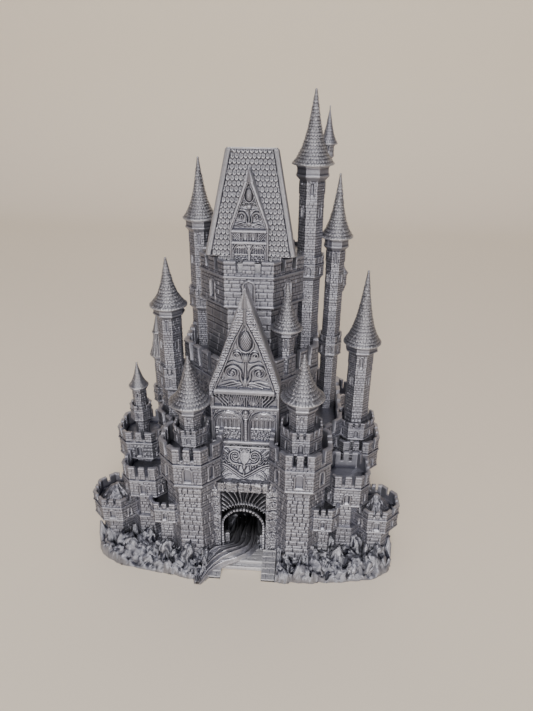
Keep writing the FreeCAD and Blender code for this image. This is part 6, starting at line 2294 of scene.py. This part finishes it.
def boulders(shell, crag, rng, count):
    """Loose boulders and slabs bedded in the skirt."""
    bm = bmesh.new()
    bmesh.ops.create_icosphere(bm, subdivisions=3, radius=1.0)
    ball = np.array([v.co[:] for v in bm.verts])
    tris = np.array([[v.index for v in f.verts] for f in bm.faces])
    bm.free()
    for k in range(count):
        t = rng.uniform(-math.pi, math.pi)
        d = crag.radius(t) - rng.uniform(3.0, 17.0)
        x, y = d * math.cos(t), d * math.sin(t) + ROCK_Y
        size = rng.uniform(1.3, 3.9)
        tall = rng.uniform(0.7, 2.0)
        # random planes that cut the ball into facets
        planes = rng.randint(9, 15)
        normals = rng.normal(size=(planes, 3))
        normals /= np.linalg.norm(normals, axis=1, keepdims=True)
        offsets = rng.uniform(0.55, 0.95, planes)
        turn = rng.uniform(0, 6.28)
        tilt = rng.uniform(-0.5, 0.5)
        if abs(x) < 25.5 and y < -46:
            continue
        cut = (ball @ normals.T) / offsets[None, :]
        p = ball / np.maximum(cut.max(axis=1, keepdims=True), 1.0)
        p = p * (1 + 0.08 * noise(p[:, 0] * 4 + k, p[:, 1] * 4, p[:, 2] * 4, 44))[:, None]
        p = p * np.array([size, size * rng.uniform(0.6, 1.0), size * tall])
        c, s = math.cos(tilt), math.sin(tilt)
        p = np.stack([p[:, 0] * c - p[:, 2] * s, p[:, 1], p[:, 0] * s + p[:, 2] * c], 1)
        c, s = math.cos(turn), math.sin(turn)
        p = np.stack([p[:, 0] * c - p[:, 1] * s, p[:, 0] * s + p[:, 1] * c, p[:, 2]], 1)
        ground = float(crag.height(np.array([[x]]), np.array([[y]]))[0, 0])
        p = p + np.array([x, y, max(ground * 0.75, size * 0.3)])
        lo, hi = p.min(axis=0), p.max(axis=0)
        if lo[0] < -93 or hi[0] > 93 or hi[1] > 66 or lo[1] < -75:
            continue
        p[:, 2] = np.maximum(p[:, 2], 0.0)
        shell.solid(p, tris, size)


def rock():
    rng = np.random.RandomState(2024)
    crag = Crag(rng)
    top, ground = crag_surface(crag, pick(0.62))

    def on_ground(j, i):
        i1 = (i + 1) % top.shape[1]
        return ground[j, i] & ground[j, i1] & ground[j + 1, i] & ground[j + 1, i1]

    shell = Shell()
    top_ids = shell.grid(top, wrap_i=True, flip=True, skip=on_ground)
    bottom = top.copy()
    bottom[..., 2] = 0.0
    bottom_ids = shell.grid(bottom, wrap_i=True, skip=on_ground)
    # the underside shares the top's points at ground level
    renumber = np.arange(shell.count)
    renumber[bottom_ids[ground]] = top_ids[ground]
    shell.quads[-1] = renumber[shell.quads[-1]]
    shell.fan(top_ids[0], top[0].mean(axis=0))
    shell.fan(bottom_ids[0], bottom[0].mean(axis=0), flip=True)
    boulders(shell, crag, rng, pick(210))
    shell.build("rock_base", "rock")


# ------------------------------------------------------------------ stage, lights, camera
def paper_material():
    """Matt warm paper with a faint mottle."""
    rgb, mottle = (0.83, 0.748, 0.64), 0.012
    material = bpy.data.materials.new("paper")
    material.use_nodes = True
    tree = material.node_tree
    coords = add_node(tree, "TexCoord").outputs["Object"]
    patches = noise_node(tree, coords, scale=3.0, detail=5.0)
    color = color_ramp(tree, patches, (0.0, [c * (1 - mottle) for c in rgb]),
                       (1.0, [min(1, c * (1 + mottle)) for c in rgb]))
    shader = tree.nodes["Principled BSDF"]
    tree.links.new(color, shader.inputs["Base Color"])
    shader.inputs["Roughness"].default_value = 0.85
    shader.inputs["Specular IOR Level"].default_value = 0.2
    return material


def backdrop():
    """Pale table that rolls up into a pale wall (metres)."""
    section = [(-1.6, 0.0), (-0.6, 0.0), (0.0, 0.0), (0.4, 0.0)]        # y, z
    for k in range(13):
        a = math.pi / 2 * k / 12
        section.append((0.75 + 0.30 * math.sin(a), 0.30 - 0.30 * math.cos(a)))
    section += [(1.05, 0.9), (1.05, 1.9)]
    xs = (-2.6, -1.2, 0.0, 1.2, 2.6)
    n = len(section)
    points = [(x, y, z - 0.0002) for x in xs for y, z in section]
    faces = [(i * n + j, (i + 1) * n + j, (i + 1) * n + j + 1, i * n + j + 1)
             for i in range(len(xs) - 1) for j in range(n - 1)]
    mesh = bpy.data.meshes.new("backdrop")
    mesh.from_pydata(points, [], faces)
    mesh.polygons.foreach_set("use_smooth", [True] * len(faces))
    sheet = bpy.data.objects.new("backdrop", mesh)
    bpy.context.scene.collection.objects.link(sheet)
    mesh.materials.append(paper_material())


def studio_world():
    """Room light that is bright in front (-Y) and dim at the sides."""
    world = bpy.data.worlds.new("studio")
    bpy.context.scene.world = world
    world.use_nodes = True
    tree = world.node_tree
    tree.nodes.clear()
    coords = add_node(tree, "TexCoord").outputs["Generated"]
    axes = add_node(tree, "SeparateXYZ", {0: coords}).outputs
    light = color_ramp(tree, remap(tree, axes["Y"], -1.0, 1.0),
                       (0.0, (1.15, 1.08, 0.98)), (1.0, (0.34, 0.33, 0.35)),
                       (0.24, (0.38, 0.37, 0.39)), (0.50, (0.075, 0.08, 0.125)))
    room = add_node(tree, "Background", {0: light, "Strength": 0.85})
    # seen directly, the room has the pale tone of the paper
    paper = add_node(tree, "Background", {0: (0.545, 0.50, 0.445, 1)})
    seen = add_node(tree, "LightPath").outputs["Is Camera Ray"]
    mix = add_node(tree, "MixShader", {0: seen, 1: room.outputs[0], 2: paper.outputs[0]})
    add_node(tree, "OutputWorld", {0: mix.outputs[0]})


def area_light(name, location, target, size, size_y, power, color):
    light = bpy.data.lights.new(name, "AREA")
    light.shape = "RECTANGLE"
    light.size, light.size_y = size, size_y
    light.energy = power
    light.color = color
    lamp = bpy.data.objects.new(name, light)
    lamp.location = location
    aim = Vector(target) - Vector(location)
    lamp.rotation_euler = aim.to_track_quat("-Z", "Y").to_euler()
    bpy.context.scene.collection.objects.link(lamp)


def add_camera():
    data = bpy.data.cameras.new("camera")
    data.sensor_width = 36.0
    data.sensor_fit = "AUTO"
    data.lens = 28.354
    data.clip_start = 0.01
    data.clip_end = 20.0
    camera = bpy.data.objects.new("camera", data)
    bpy.context.scene.collection.objects.link(camera)
    camera.matrix_world = Matrix.Translation((0.0304, -0.3006, 0.2600)) @ (
        Matrix.Rotation(math.radians(4.0), 4, "Z")           # pan
        @ Matrix.Rotation(math.radians(63.7), 4, "X")        # tilt
        @ Matrix.Rotation(math.radians(0.6), 4, "Z"))        # roll
    bpy.context.scene.camera = camera


# ------------------------------------------------------------------ build
TWO_TIER = "left_rear_spire"
SPIRE_STYLES = {
    "gate_spire_left": dict(tile=1.7, amp=0.55),
    "gate_spire_right": dict(tile=1.7, amp=0.55),
    "corner_spire": dict(amp=0.06, bell=0.36),
}
for name, row in BASTIONS.items():
    bastion(name, *row)
for name, row in TURRETS.items():
    turret(name, *row)
for name, row in SPIRES.items():
    if name != TWO_TIER:
        spire(name, *row, **SPIRE_STYLES.get(name, {}))
for side, row in GATE_TOWERS.items():
    gate_tower(side, *row)
lower_ward()
mid_ward()
keep_wall()
keep_crown()
keep_roof()
for name, row in BARTIZANS.items():
    bartizan(name, *row)
two_tier_spire(TWO_TIER)
gable()
screen()
shield()
lintel()
dormer("front_dormer", y_face=-8.0, side=-1)
dormer("rear_dormer", y_face=44.0, side=1)
gatehouse()
stairs()
runner()
ramp()
paint_shade_on_baffles()
rock()
backdrop()
studio_world()
area_light("key", location=(0.05, -1.45, 0.85), target=(0.0, 0.0, 0.12), size=0.8,
           size_y=0.7, power=26.0, color=(1.0, 0.955, 0.89))
area_light("top", location=(-0.1, 0.1, 1.9), target=(0.0, 0.05, 0.0), size=1.6,
           size_y=1.2, power=8.0, color=(1.0, 0.97, 0.94))
add_camera()
